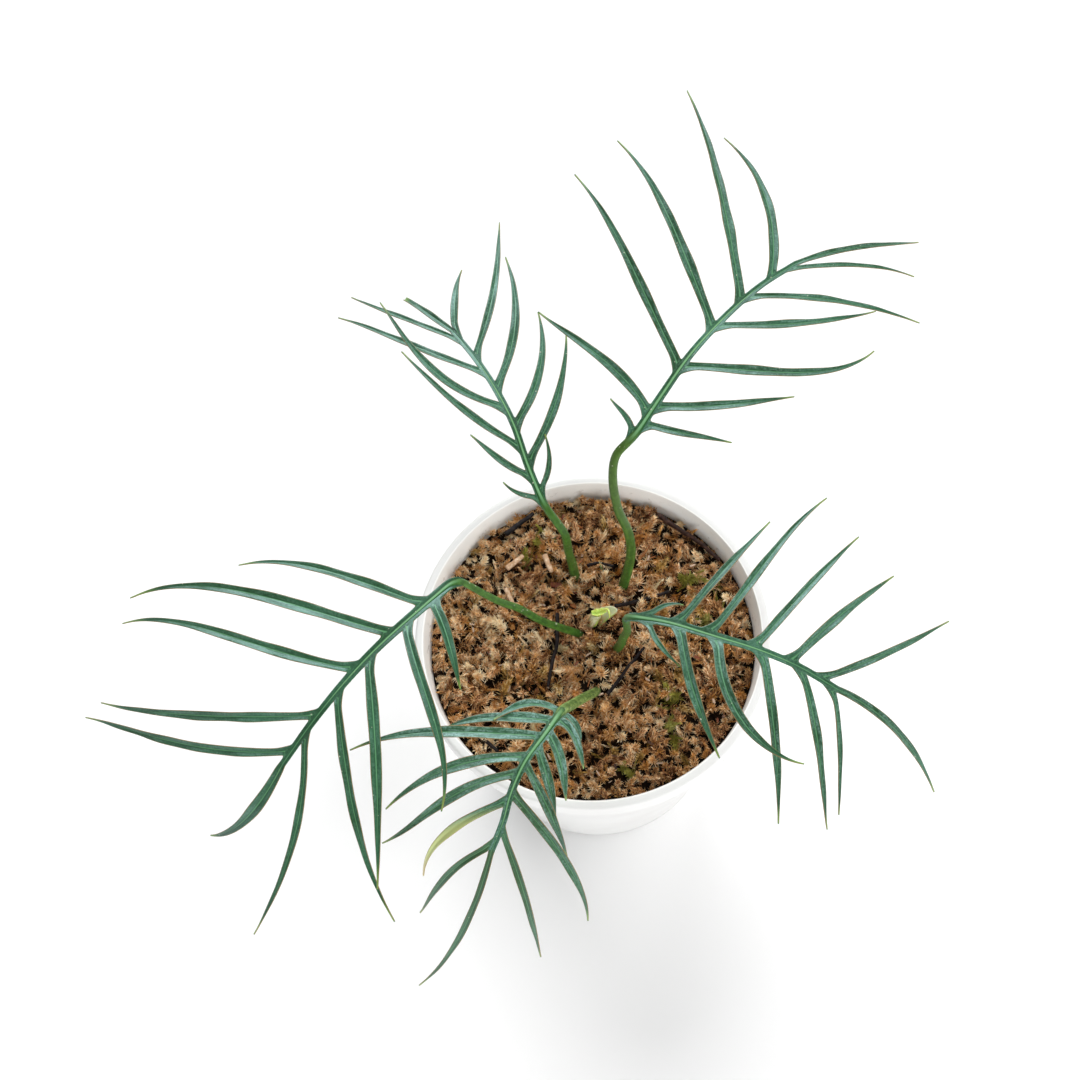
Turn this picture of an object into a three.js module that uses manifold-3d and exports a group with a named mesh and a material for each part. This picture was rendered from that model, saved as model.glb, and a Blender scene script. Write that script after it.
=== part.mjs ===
// A young philodendron tortum with five cut leaves and a new shoot, in a plain white pot filled with moss.
// Millimetres, +Z up. The origin is the middle of the pot's underside, and the front is -Y.
import * as THREE from 'three';
import { mergeVertices } from 'three/addons/utils/BufferGeometryUtils.js';
import Module from 'manifold-3d';

const wasm = await Module();
wasm.setup();

// Pot
const POT_HEIGHT = 110;
const RIM_OUTER_DIAMETER = 134;
const RIM_INNER_DIAMETER = 127;
const BASE_DIAMETER = 96;
const POT_WALL = 1.5;
const RIM_BAND_HEIGHT = 9;
const RIM_SKIRT = 1.1;
const POT_SIDES = 60;
const DRAIN_HOLES = 8;
const DRAIN_HOLE_DIAMETER = 7;
const DRAIN_HOLE_SIDES = 12;
const DRAIN_CIRCLE_RADIUS = 32;

// Moss filling
const MOSS_MIDDLE = 105.5;
const MOSS_EDGE_DROP = 3.5;
const MOSS_RIGHT_DROP = 2.5;
const MOSS_RINGS = 14;
const MOSS_LUMP_HEIGHTS = [1, 0.6];
const MOSS_LUMP_PITCHES = [[0.52, 0.47], [0.43, 0.39]];

// Leaves
const PETIOLE_SIDES = 8;
const PETIOLE_STEPS = 14;
const RACHIS_STEPS = 12;
const BLADE_THICKNESS = 0.7;
const RIB_THICKNESS = 1.5;
const BLADE_FOLD = 0.22;
const RACHIS_START_WIDTH = 3.2;
const RACHIS_END_WIDTH = 2.2;
const LEAFLET_STEP = 10;
const LEAFLET_ROOT_SHARE = 0.78;
const LEAFLET_WIDEST_AT = [0.3, 0.4];
const LEAFLET_TAPER = 1.3;
const LEAFLET_TIP_WIDTH = 0.7;
const LEAFLET_RIB_THICKNESS = 1;

const GAP = 0.3;

// Each leaf has a petiole and a rachis, as points on their curves, and the way that its upper face looks.
// A leaflet is [place on the rachis, length, angle to it, bend, hook, width]: bend turns it evenly towards
// the leaf's tip, hook turns it more and more. It leaves the rachis raised by lift and comes down by droop,
// and some leaflets have these two as numbers of their own.
const LEAVES = {
  leaf_rear_right: {
    petiole: [[9, 14, 88], [14, 20, 103], [17, 22, 120], [18, 22, 136], [17, 23, 151], [14, 26, 164],
      [13, 31, 178], [15, 36, 187], [21, 39, 191]],
    petioleRadius: [1.9, 1.4],
    rachis: [[21, 39, 191], [33, 52, 196], [45, 65, 199], [59, 78, 199], [73, 89, 198], [88, 99, 194]],
    face: [0.05, -0.25, 1],
    left: { lift: 8, droop: 24, leaflets: [
      [1, 16, 43, -84, 49, 1.7, 16, 30], [11, 54, 64, -48, 31, 2.8], [30, 82, 62, 12, -22, 2.8],
      [49, 82, 63, 8, -24, 3.1], [64, 88, 55, 2, -10, 3.0], [79, 63, 42, -42, -7, 3.0]] },
    right: { lift: 10, droop: 32, leaflets: [
      [7, 32, 78, 26, -16, 2.0], [14, 50, 63, 28, -11, 2.6], [31, 73, 60, -1, 53, 2.7],
      [51, 63, 51, 28, 1, 2.2], [67, 67, 41, -10, 1, 1.9], [87, 56, 25, -3, -7, 1.4]] },
    end: { lift: 4, droop: 30, leaflets: [[92, 63, -11, 18, -20, 1.8]] },
  },
  leaf_rear_left: {
    petiole: [[-1, 19, 88], [-3, 27, 103], [-4, 27, 120], [-5, 25, 137], [-6, 24, 154], [-12, 30, 167]],
    petioleRadius: [1.8, 1.25],
    rachis: [[-12, 30, 167], [-16, 44, 173], [-19, 58, 177], [-24, 73, 178], [-30, 87, 177], [-37, 101, 174]],
    face: [0, -0.15, 1],
    left: { lift: 10, droop: 28, leaflets: [
      [3, 15, 71, 51, 8, 1.4], [11, 27, 54, 54, -28, 2.1], [22, 57, 47, 33, -11, 2.1],
      [38, 64, 58, 88, -38, 2.4, 16, 22], [54, 66, 41, 27, -16, 2.2], [72, 56, 29, 12, 5, 1.7]] },
    right: { lift: 10, droop: 26, leaflets: [
      [5, 22, 61, 73, -16, 1.6, 24, 20], [16, 51, 54, 35, -1, 2.6], [30, 47, 59, 55, -2, 2.6],
      [46, 59, 56, 58, -12, 2.8], [62, 65, 54, 37, -11, 2.4], [76, 32, 30, -9, -3, 2.4]] },
    end: { lift: 4, droop: 20, leaflets: [[78, 29, 14, 9, -8, 2.1]] },
  },
  leaf_left: {
    petiole: [[0, 5, 90], [-5, 4, 104], [-12, 2.5, 117], [-18.5, 1.5, 129], [-25, 2, 141], [-32, 1.5, 152],
      [-38, 2, 162], [-45, 3, 174]],
    petioleRadius: [1.7, 1.35],
    rachis: [[-45, 3, 174], [-59, -8, 176], [-74, -19, 175], [-87, -29, 171], [-100, -39, 163],
      [-112, -49, 154]],
    face: [-0.15, -0.2, 1],
    left: { lift: 10, droop: 28, leaflets: [
      [12, 34, 73, 24, -13, 2.4], [24, 68, 60, -24, 53, 3.1, 14, 28], [41, 79, 54, 13, 1, 3.5],
      [57, 81, 52, 1, -18, 2.8], [76, 79, 47, 60, -13, 2.3]] },
    right: { lift: 9, droop: 30, leaflets: [
      [15, 69, 62, -9, 33, 2.8], [30, 99, 58, -13, 46, 3.6], [47, 94, 56, -29, 48, 3.1],
      [68, 94, 47, -6, -3, 2.9], [84, 92, 47, -32, 24, 2.8]] },
    end: { lift: 0, droop: 30, leaflets: [[90, 51, 9, 36, 22, 3.3]] },
  },
  leaf_right: {
    petiole: [[7, 0, 89], [9, -4, 104], [10, -10, 125], [10, -16, 146], [11, -21, 167], [10, -24, 188]],
    petioleRadius: [1.8, 1.4],
    rachis: [[10, -24, 188], [23, -30, 193], [37, -37, 194], [51, -43, 192], [64, -49, 187], [76, -56, 180]],
    face: [0.1, -0.15, 1],
    left: { lift: 10, droop: 28, leaflets: [
      [8, 14, 52, 26, 38, 1.7], [19, 48, 67, -1, -2, 2.7], [30, 64, 68, -12, 23, 2.7],
      [45, 56, 67, 4, 4, 2.7], [58, 52, 69, 22, -5, 3.0], [70, 57, 47, -8, 4, 2.3]] },
    right: { lift: 6, droop: 40, leaflets: [
      [9, 20, 70, 63, -26, 1.7], [20, 46, 67, 24, -4, 3.5], [33, 55, 79, 67, 24, 3.5, 14, 34],
      [48, 58, 65, 5, -4, 3.0], [62, 57, 51, -8, 19, 2.7], [75, 45, 54, -4, 15, 1.7]] },
    end: { lift: 0, droop: 34, leaflets: [[77, 61, 6, 36, -11, 2.5]] },
  },
  leaf_front: {
    petiole: [[0, -13, 89], [-2, -20, 105], [-5, -27, 120], [-7, -34, 134], [-10, -40, 149], [-15, -46, 164]],
    petioleRadius: [1.9, 1.6],
    rachis: [[-15, -46, 164], [-21, -54, 167], [-29, -63, 167], [-35, -72, 163], [-39, -80, 157],
      [-44, -87, 150]],
    face: [-0.1, -0.3, 1],
    left: { lift: 2, droop: 62, leaflets: [
      [0, 14, 106, 32, 19, 2.4], [4, 21, 100, 87, -74, 2.8], [10, 26, 71, 53, -43, 3.0],
      [16, 28, 59, 10, -4, 2.6], [23, 40, 60, 14, 3, 2.9], [34, 59, 66, 30, 24, 3.0, 4, 46],
      [47, 62, 43, 30, 0, 2.3, 4, 46]] },
    right: { lift: 6, droop: 40, leaflets: [
      [0, 26, 86, 98, -34, 2.5], [5, 39, 58, -9, 25, 2.8], [12, 68, 55, -10, 29, 3.3],
      [21, 55, 61, 45, 0, 3.2], [27, 59, 59, 68, -52, 3.0], [37, 50, 56, 42, 21, 2.8],
      [54, 50, 42, 60, -31, 2.3]] },
    end: { lift: -4, droop: 20, leaflets: [[56, 76, 7, 25, 5, 2.5]] },
  },
};

// Twigs and straw lie in the moss: points seen from above, and diameter.
const TWIGS = {
  twig_1: { points: [[10, 12], [20, 13], [32, 16]], diameter: 1.2 },
  twig_2: { points: [[3, -23], [11, -14], [19, -6]], diameter: 1.1 },
  twig_3: { points: [[-12, 12], [-13, 2], [-16, -8], [-19, -17]], diameter: 1.3 },
  twig_4: { points: [[2, 30], [6, 31], [12, 28]], diameter: 1.1 },
  twig_5: { points: [[32, 49], [39, 42], [46, 36], [53, 27]], diameter: 1.6 },
  twig_6: { points: [[-28, 48], [-22, 52], [-16, 56]], diameter: 1.8 },
  twig_7: { points: [[-45, -33], [-40, -39]], diameter: 1.3 },
  twig_8: { points: [[22, 30], [27, 36]], diameter: 1.1 },
  straw_1: { points: [[-29, 33], [-22, 38]], diameter: 1.8 },
  straw_2: { points: [[-14, 37], [-12, 29]], diameter: 1.8 },
  straw_3: { points: [[-30, 25], [-28, 18]], diameter: 1.5 },
};

// New shoot: an open sheath round a folded leaf.
const SHEATH_FOOT = new THREE.Vector3(0, 7, 96);
const SHEATH_HEIGHT = 19;
const SHEATH_THICKNESS = 0.8;
const SHEATH_WRAP = THREE.MathUtils.degToRad(250);
const SHEATH_TURN = THREE.MathUtils.degToRad(45);
const SHEATH_RADII = [3, 4.6];
const SHEATH_MOUTH_STRETCH = [1.25, 0.72];
const SHEATH_LEAN = 4.5;
const SHEATH_LIP = 0.28;
const SHEATH_SOCKET_RADII = [4.7, 6];
const SHEATH_SOCKET_DEPTH = 14;
const SHEATH_SOCKET_SHIFT = 0.8;
const NEW_LEAF_LENGTH = 13;
const NEW_LEAF_WIDTH = 5;
const NEW_LEAF_THICKNESS = 1.2;
const NEW_LEAF_FOOT_LIFT = 3;
const NEW_LEAF_SHIFT = 3.4;
const NEW_LEAF_BACK = 0.5;
const NEW_LEAF_TILTS = [8, 24];

const LOOKS = {
  pot: { color: 0xe9e8e4, roughness: 0.42 },
  moss: { color: 0x8f6a3e, roughness: 0.95 },
  leaf: { color: 0x4f7d63, roughness: 0.5 },
  sheath: { color: 0xc9cf8c, roughness: 0.55 },
  newLeaf: { color: 0xd8e36a, roughness: 0.5 },
  twig: { color: 0x2f2826, roughness: 0.85 },
  straw: { color: 0xd8b48c, roughness: 0.8 },
};

const clamp = THREE.MathUtils.clamp;
const lerp = THREE.MathUtils.lerp;
const rad = THREE.MathUtils.degToRad;

// Closed geometry to a solid, and back.
function toSolid(geometry) {
  const plain = geometry.clone();
  plain.deleteAttribute('normal');
  plain.deleteAttribute('uv');
  const merged = mergeVertices(plain, 1e-4);
  return new wasm.Manifold(new wasm.Mesh({
    numProp: 3,
    vertProperties: Float32Array.from(merged.attributes.position.array),
    triVerts: Uint32Array.from(merged.index.array),
  }));
}

function toGeometry(solid) {
  const mesh = solid.getMesh();
  const geometry = new THREE.BufferGeometry();
  geometry.setAttribute('position', new THREE.BufferAttribute(mesh.vertProperties, 3));
  geometry.setIndex(new THREE.BufferAttribute(mesh.triVerts, 1));
  geometry.computeVertexNormals();
  return geometry;
}

function deform(geometry, place) {
  const position = geometry.attributes.position;
  const point = new THREE.Vector3();
  for (let i = 0; i < position.count; i += 1) {
    point.fromBufferAttribute(position, i);
    place(point);
    position.setXYZ(i, point.x, point.y, point.z);
  }
  return geometry;
}

function curveThrough(points) {
  const corners = points.map((point) => new THREE.Vector3(...point));
  return new THREE.CatmullRomCurve3(corners, false, 'catmullrom', 0.5);
}

// A round rod along a curve, thinner towards its end.
function rod(curve, startRadius, endRadius, sides, steps) {
  const geometry = new THREE.CylinderGeometry(1, 1, 1, sides, steps);
  return deform(geometry, (point) => {
    const u = clamp(point.y + 0.5, 0, 1);
    const tangent = curve.getTangentAt(u);
    const side = new THREE.Vector3(1, 0, 0).addScaledVector(tangent, -tangent.x).normalize();
    const other = new THREE.Vector3().crossVectors(side, tangent);
    const radius = lerp(startRadius, endRadius, u);
    const { x, z } = point;
    point.copy(curve.getPointAt(u)).addScaledVector(side, x * radius).addScaledVector(other, z * radius);
  });
}

// A thin blade along stations of {place, along, normal}, its halves folded up from a thicker midrib.
function blade(stations, width, rib) {
  const steps = stations.length - 1;
  const geometry = new THREE.BoxGeometry(2, 1, 1, 2, 1, steps);
  return deform(geometry, (point) => {
    const index = Math.round((point.z + 0.5) * steps);
    const { place, along, normal } = stations[index];
    const half = width(index / steps) / 2;
    const across = new THREE.Vector3().crossVectors(normal, along);
    const edge = Math.abs(point.x);
    const rise = point.y * lerp(rib(index / steps), BLADE_THICKNESS, edge) + edge * half * BLADE_FOLD;
    const offset = point.x * half;
    point.copy(place).addScaledVector(across, offset).addScaledVector(normal, rise);
  });
}

function squareTo(direction, along) {
  return direction.clone().addScaledVector(along, -direction.dot(along)).normalize();
}

// Leaflet width along its length: narrow where it leaves the rachis, widest before the middle, a fine tip.
function leafletWidth(width, u) {
  const [full, narrowing] = LEAFLET_WIDEST_AT;
  const root = lerp(LEAFLET_ROOT_SHARE, 1, THREE.MathUtils.smoothstep(u, 0, full));
  const taper = u < narrowing ? 1 : 1 - ((u - narrowing) / (1 - narrowing)) ** LEAFLET_TAPER;
  return Math.max(width * root * taper, LEAFLET_TIP_WIDTH);
}

function leaflet(leaf, spine, side, group, row) {
  const [at, length, angle, bend, hook, width, lift = group.lift, droop = group.droop] = row;
  const u0 = clamp(at / spine.getLength(), 0, 1);
  const root = spine.getPointAt(u0);
  const forward = spine.getTangentAt(u0);
  const normal = squareTo(new THREE.Vector3(...leaf.face), forward);
  const outward = new THREE.Vector3().crossVectors(normal, forward).multiplyScalar(side);
  const heading = (u) => {
    const turn = rad(angle - bend * u - hook * u ** 3);
    const pitch = rad(lift - droop * u);
    return new THREE.Vector3()
      .addScaledVector(forward, Math.cos(pitch) * Math.cos(turn))
      .addScaledVector(outward, Math.cos(pitch) * Math.sin(turn))
      .addScaledVector(normal, Math.sin(pitch));
  };
  const steps = clamp(Math.round(length / LEAFLET_STEP), 4, 10);
  const place = root.clone();
  const stations = [];
  for (let i = 0; i <= steps; i += 1) {
    const along = heading(i / steps);
    stations.push({ place: place.clone(), along, normal: squareTo(normal, along) });
    place.addScaledVector(heading((i + 0.5) / steps), length / steps);
  }
  const rib = (u) => lerp(LEAFLET_RIB_THICKNESS, BLADE_THICKNESS, u);
  return blade(stations, (u) => leafletWidth(width, u), rib);
}

function rachis(leaf, spine) {
  const stations = [];
  for (let i = 0; i <= RACHIS_STEPS; i += 1) {
    const along = spine.getTangentAt(i / RACHIS_STEPS);
    const normal = squareTo(new THREE.Vector3(...leaf.face), along);
    stations.push({ place: spine.getPointAt(i / RACHIS_STEPS), along, normal });
  }
  const width = (u) => lerp(RACHIS_START_WIDTH, RACHIS_END_WIDTH, u);
  return blade(stations, width, (u) => lerp(RIB_THICKNESS, LEAFLET_RIB_THICKNESS, u));
}

function petiole(leaf, extra) {
  const [foot, top] = leaf.petioleRadius;
  return rod(curveThrough(leaf.petiole), foot + extra, top + extra, PETIOLE_SIDES, PETIOLE_STEPS);
}

function leafSolid(leaf) {
  const spine = curveThrough(leaf.rachis);
  const knee = new THREE.SphereGeometry(leaf.petioleRadius[1] * 1.1, 8, 6);
  knee.translate(...leaf.rachis[0]);
  let solid = toSolid(petiole(leaf, 0)).add(toSolid(knee)).add(toSolid(rachis(leaf, spine)));
  for (const [group, side] of [[leaf.left, 1], [leaf.right, -1], [leaf.end, 1]]) {
    for (const row of group.leaflets) {
      solid = solid.add(toSolid(leaflet(leaf, spine, side, group, row)));
    }
  }
  return solid;
}

// The pot: a tapered wall with a turned-down rim, a flat floor and a ring of drain holes.
function innerRadius(z) {
  const top = RIM_INNER_DIAMETER / 2;
  const bottom = BASE_DIAMETER / 2 - POT_WALL;
  return lerp(bottom, top, (z - POT_WALL) / (POT_HEIGHT - POT_WALL));
}

function turned(profile) {
  const points = profile.map(([radius, z]) => new THREE.Vector2(radius, z));
  return new THREE.LatheGeometry(points, POT_SIDES).rotateX(Math.PI / 2);
}

function potSolid() {
  const rimOuter = RIM_OUTER_DIAMETER / 2;
  const rimBottom = POT_HEIGHT - RIM_BAND_HEIGHT;
  const under = POT_HEIGHT - POT_WALL;
  const shell = turned([
    [0, 0],
    [BASE_DIAMETER / 2 - 1, 0],
    [BASE_DIAMETER / 2, 1],
    [innerRadius(rimBottom) + POT_WALL, rimBottom],
    [innerRadius(under) + POT_WALL, under],
    [rimOuter - RIM_SKIRT, under],
    [rimOuter - RIM_SKIRT, rimBottom],
    [rimOuter, rimBottom],
    [rimOuter, POT_HEIGHT - 1],
    [rimOuter - 0.3, POT_HEIGHT - 0.3],
    [rimOuter - 1, POT_HEIGHT],
    [RIM_INNER_DIAMETER / 2 + 0.6, POT_HEIGHT],
    [innerRadius(POT_HEIGHT - 0.6), POT_HEIGHT - 0.6],
    [innerRadius(POT_WALL), POT_WALL],
    [0, POT_WALL],
  ]);
  let solid = toSolid(shell);
  for (let i = 0; i < DRAIN_HOLES; i += 1) {
    const angle = (i / DRAIN_HOLES) * 2 * Math.PI;
    const radius = DRAIN_HOLE_DIAMETER / 2;
    const hole = new THREE.CylinderGeometry(radius, radius, POT_WALL * 3, DRAIN_HOLE_SIDES);
    hole.rotateX(Math.PI / 2);
    hole.translate(DRAIN_CIRCLE_RADIUS * Math.cos(angle), DRAIN_CIRCLE_RADIUS * Math.sin(angle), 0);
    solid = solid.subtract(toSolid(hole));
  }
  return solid;
}

// Height of the moss, with soft lumps that fade out at the pot's wall.
function mossTop(x, y) {
  const edge = Math.hypot(x, y) / (RIM_INNER_DIAMETER / 2);
  const [large, small] = MOSS_LUMP_HEIGHTS;
  const [[alongX, alongY], [alongSum, alongDifference]] = MOSS_LUMP_PITCHES;
  const lumps = large * Math.sin(x * alongX + 1.3) * Math.sin(y * alongY + 0.4)
    + small * Math.sin((x + y) * alongSum + 2) * Math.sin((x - y) * alongDifference);
  const rightDrop = MOSS_RIGHT_DROP * clamp(x / (RIM_INNER_DIAMETER / 2), 0, 1);
  return MOSS_MIDDLE - MOSS_EDGE_DROP * edge ** 3 - rightDrop + lumps * (1 - 0.5 * edge);
}

function twigCurve(twig) {
  return curveThrough(twig.points.map(([x, y]) => [x, y, mossTop(x, y) + twig.diameter * 0.15]));
}

function twigRod(twig, extra) {
  const curve = twigCurve(twig);
  const radius = twig.diameter / 2;
  const steps = Math.max(2, Math.round(curve.getLength() / 4));
  const geometry = rod(curve, radius + extra, radius * 0.75 + extra, 6, steps);
  return extra > 0 ? stretchEnds(geometry, curve, extra) : geometry;
}

// A hole is longer than the rod in it by the gap at each end.
function stretchEnds(geometry, curve, extra) {
  const start = curve.getPointAt(0);
  const end = curve.getPointAt(1);
  const startWay = curve.getTangentAt(0);
  const endWay = curve.getTangentAt(1);
  return deform(geometry, (point) => {
    if (point.clone().sub(start).dot(startWay) < 0.05) point.addScaledVector(startWay, -extra);
    else if (point.clone().sub(end).dot(endWay) > -0.05) point.addScaledVector(endWay, extra);
  });
}

function mossSolid() {
  const bottom = POT_WALL + GAP;
  const edgeTop = MOSS_MIDDLE - MOSS_EDGE_DROP;
  const profile = [[0, bottom], [innerRadius(bottom) - GAP, bottom]];
  const edgeRadius = innerRadius(edgeTop - 4) - GAP;
  for (let ring = MOSS_RINGS; ring >= 0; ring -= 1) {
    profile.push([(edgeRadius * ring) / MOSS_RINGS, edgeTop]);
  }
  const body = deform(turned(profile), (point) => {
    if (point.z > edgeTop - 1) point.z = mossTop(point.x, point.y);
  });
  let solid = toSolid(body);
  for (const leaf of Object.values(LEAVES)) {
    const curve = curveThrough(leaf.petiole);
    solid = solid.subtract(toSolid(stretchEnds(petiole(leaf, GAP), curve, GAP)));
  }
  for (const twig of Object.values(TWIGS)) {
    solid = solid.subtract(toSolid(twigRod(twig, GAP)));
  }
  const [footRadius, mouthRadius] = SHEATH_SOCKET_RADII;
  const socket = new THREE.CylinderGeometry(mouthRadius, footRadius, SHEATH_SOCKET_DEPTH, 14);
  socket.rotateX(Math.PI / 2);
  const middle = SHEATH_FOOT.z - GAP + SHEATH_SOCKET_DEPTH / 2;
  socket.translate(SHEATH_FOOT.x + SHEATH_SOCKET_SHIFT, SHEATH_FOOT.y, middle);
  return solid.subtract(toSolid(socket));
}

// The sheath: a leaf base rolled three quarters of the way round, flaring to the right, with a pointed lip.
function sheathSolid() {
  const geometry = new THREE.BoxGeometry(1, 1, 1, 14, 5, 1);
  return toSolid(deform(geometry, (point) => {
    const [footRadius, mouthRadius] = SHEATH_RADII;
    const [stretchX, stretchY] = SHEATH_MOUTH_STRETCH;
    const round = point.x * SHEATH_WRAP + SHEATH_TURN;
    const up = point.y + 0.5;
    const lip = 1 - SHEATH_LIP + SHEATH_LIP * Math.cos(point.x * Math.PI);
    const radius = lerp(footRadius, mouthRadius, up ** 1.5) + point.z * SHEATH_THICKNESS;
    const x = radius * Math.cos(round) * lerp(1, stretchX, up) + SHEATH_LEAN * up ** 2;
    const y = radius * Math.sin(round) * lerp(1, stretchY, up);
    point.set(x, y, up * SHEATH_HEIGHT * lip).add(SHEATH_FOOT);
  }));
}

function newLeafSolid() {
  const steps = 5;
  const stations = [];
  for (let i = 0; i <= steps; i += 1) {
    const u = i / steps;
    const tilt = rad(lerp(...NEW_LEAF_TILTS, u));
    const along = new THREE.Vector3(Math.sin(tilt), 0, Math.cos(tilt));
    const rise = NEW_LEAF_FOOT_LIFT + u * NEW_LEAF_LENGTH;
    const place = new THREE.Vector3(u * u * NEW_LEAF_SHIFT, NEW_LEAF_BACK, rise).add(SHEATH_FOOT);
    stations.push({ place, along, normal: squareTo(new THREE.Vector3(0, -1, 0), along) });
  }
  const width = (u) => NEW_LEAF_WIDTH * (0.4 + 0.6 * Math.sin(Math.PI * (0.1 + u * 0.85)));
  return toSolid(blade(stations, width, () => NEW_LEAF_THICKNESS));
}

// The assembly
const group = new THREE.Group();

function addPart(name, solid, look) {
  const material = new THREE.MeshStandardMaterial({ ...LOOKS[look], metalness: 0 });
  const mesh = new THREE.Mesh(toGeometry(solid), material);
  mesh.name = name;
  group.add(mesh);
}

addPart('pot', potSolid(), 'pot');
addPart('moss', mossSolid(), 'moss');
for (const [name, leaf] of Object.entries(LEAVES)) addPart(name, leafSolid(leaf), 'leaf');
addPart('new_shoot', sheathSolid(), 'sheath');
addPart('new_leaf', newLeafSolid(), 'newLeaf');
for (const [name, twig] of Object.entries(TWIGS)) {
  addPart(name, toSolid(twigRod(twig, 0)), name.startsWith('straw') ? 'straw' : 'twig');
}

export default group;
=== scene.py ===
import bisect
import math
import random

import bmesh
import bpy
from mathutils import Matrix, Vector, noise


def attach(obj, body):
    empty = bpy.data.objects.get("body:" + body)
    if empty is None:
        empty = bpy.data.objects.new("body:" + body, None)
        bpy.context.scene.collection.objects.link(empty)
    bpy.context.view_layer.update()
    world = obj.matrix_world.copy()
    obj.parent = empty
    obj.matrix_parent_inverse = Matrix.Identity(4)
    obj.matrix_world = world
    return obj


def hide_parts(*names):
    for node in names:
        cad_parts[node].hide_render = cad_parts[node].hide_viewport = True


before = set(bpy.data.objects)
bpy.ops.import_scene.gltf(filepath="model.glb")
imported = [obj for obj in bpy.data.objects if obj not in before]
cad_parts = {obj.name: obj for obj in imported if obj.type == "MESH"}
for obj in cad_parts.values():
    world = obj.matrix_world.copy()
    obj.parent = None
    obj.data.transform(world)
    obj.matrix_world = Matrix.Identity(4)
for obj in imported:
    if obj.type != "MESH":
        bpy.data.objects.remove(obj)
noise.seed_set(11)  # else the twigs would wander differently each run
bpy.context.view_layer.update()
millimetre = 0.001


# Small helpers

def clamp(value, low=0.0, high=1.0):
    return max(low, min(high, value))


def mix(a, b, share):
    return a + (b - a) * share


def smoothStep(low, high, value):
    t = clamp((value - low) / (high - low))
    return t * t * (3 - 2 * t)


def polar(radius, angle):
    return Vector((radius * math.cos(angle), radius * math.sin(angle)))


def squareTo(direction, along):
    return (direction - along * direction.dot(along)).normalized()


def hermite(a, leave, b, arrive, w, pull=1):  # the point between a and b, and the direction there
    point = (a * (2 * w ** 3 - 3 * w ** 2 + 1) + leave * (pull * (w ** 3 - 2 * w ** 2 + w))
             + b * (3 * w ** 2 - 2 * w ** 3) + arrive * (pull * (w ** 3 - w ** 2)))
    way = (a * (6 * w * w - 6 * w) + leave * (pull * (3 * w * w - 4 * w + 1))
           + b * (6 * w - 6 * w * w) + arrive * (pull * (3 * w * w - 2 * w)))
    return point, way.normalized()


def smoothCurve(points):  # a curve through the points, read by distance from its start, and its length
    corners = [Vector(point) for point in points]
    ends = [corners[0] * 2 - corners[1]] + corners + [corners[-1] * 2 - corners[-2]]
    steps = 200

    def at(share):
        place = clamp(share) * (len(corners) - 1)
        number = min(int(place), len(corners) - 2)
        a, b, c, d = ends[number:number + 4]
        return hermite(b, (c - a) / 2, c, (d - b) / 2, place - number)

    samples = [at(i / steps)[0] for i in range(steps + 1)]
    reach = [0.0]
    for before, after in zip(samples, samples[1:]):
        reach.append(reach[-1] + (after - before).length)

    def byDistance(distance):
        distance = clamp(distance, 0, reach[-1])
        low = min(bisect.bisect_right(reach, distance), steps) - 1
        return at((low + (distance - reach[low]) / max(reach[low + 1] - reach[low], 1e-9)) / steps)

    return byDistance, reach[-1]


def steadySpine(curve, top):  # a spine along a curve, its upper side kept to one direction
    def spine(distance):
        point, way = curve(distance)
        return point, way, squareTo(Vector(top), way)

    return spine


def vertexMarks(bm, name):  # three values at each vertex, for the finishes to read
    layers = bm.verts.layers.float_vector
    return layers.get(name) or layers.new(name)


def layGrid(bm, columns, rows, place):  # a grid whose vertices are placed by column and row
    made = bmesh.ops.create_grid(bm, x_segments=columns, y_segments=rows, size=0.5)
    for vertex in made["verts"]:
        place(vertex, round((vertex.co.x + 0.5) * columns), round((vertex.co.y + 0.5) * rows))
    return made["verts"]


def layRod(bm, spine, length, radiusAt, steps, sides, mark=None):  # a closed round rod along a spine
    def place(vertex, column, row):
        share = clamp((column - 1) / (steps - 2))
        point, way, top = spine(share * length)
        turn = 2 * math.pi * row / sides
        side = way.cross(top)
        radius = 0 if column in (0, steps) else radiusAt(share, turn)
        vertex.co = point + (top * math.cos(turn) + side * math.sin(turn)) * radius
        if mark:
            mark(vertex, share, math.cos(turn))

    verts = layGrid(bm, steps, sides, place)
    faces = list({face for vertex in verts for face in vertex.link_faces})
    bmesh.ops.remove_doubles(bm, verts=verts, dist=0.0005)
    bmesh.ops.recalc_face_normals(bm, faces=[face for face in faces if face.is_valid])


def turned(outline, steps, merge):  # an outline of radius and height, spun round Z
    bm = bmesh.new()
    corners = [bm.verts.new((radius, 0, z)) for radius, z in outline]
    edges = [bm.edges.new(pair) for pair in zip(corners, corners[1:])]
    bmesh.ops.spin(bm, geom=corners + edges, axis=(0, 0, 1), cent=(0, 0, 0), angle=2 * math.pi,
                   steps=steps, use_merge=True, use_duplicate=False)
    bmesh.ops.remove_doubles(bm, verts=bm.verts[:], dist=merge)
    bmesh.ops.recalc_face_normals(bm, faces=bm.faces[:])
    return bm


def toMesh(name, bm):
    mesh = bpy.data.meshes.new(name)
    bm.to_mesh(mesh)
    bm.free()
    return mesh


def addObject(name, data):
    thing = bpy.data.objects.new(name, data)
    bpy.context.scene.collection.objects.link(thing)
    return thing


def newPiece(name, bm, materials, rounds=0, sharp=None):
    mesh = toMesh(name, bm)
    mesh.transform(Matrix.Scale(millimetre, 4))
    mesh.polygons.foreach_set("use_smooth", [True] * len(mesh.polygons))
    if sharp:
        mesh.set_sharp_from_angle(angle=math.radians(sharp))
    for material in materials:
        mesh.materials.append(material)
    piece = addObject(name, mesh)
    if rounds:
        smooth = piece.modifiers.new("smooth", "SUBSURF")
        smooth.levels = rounds
        smooth.render_levels = rounds
    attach(piece, "root")
    return piece


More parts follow.
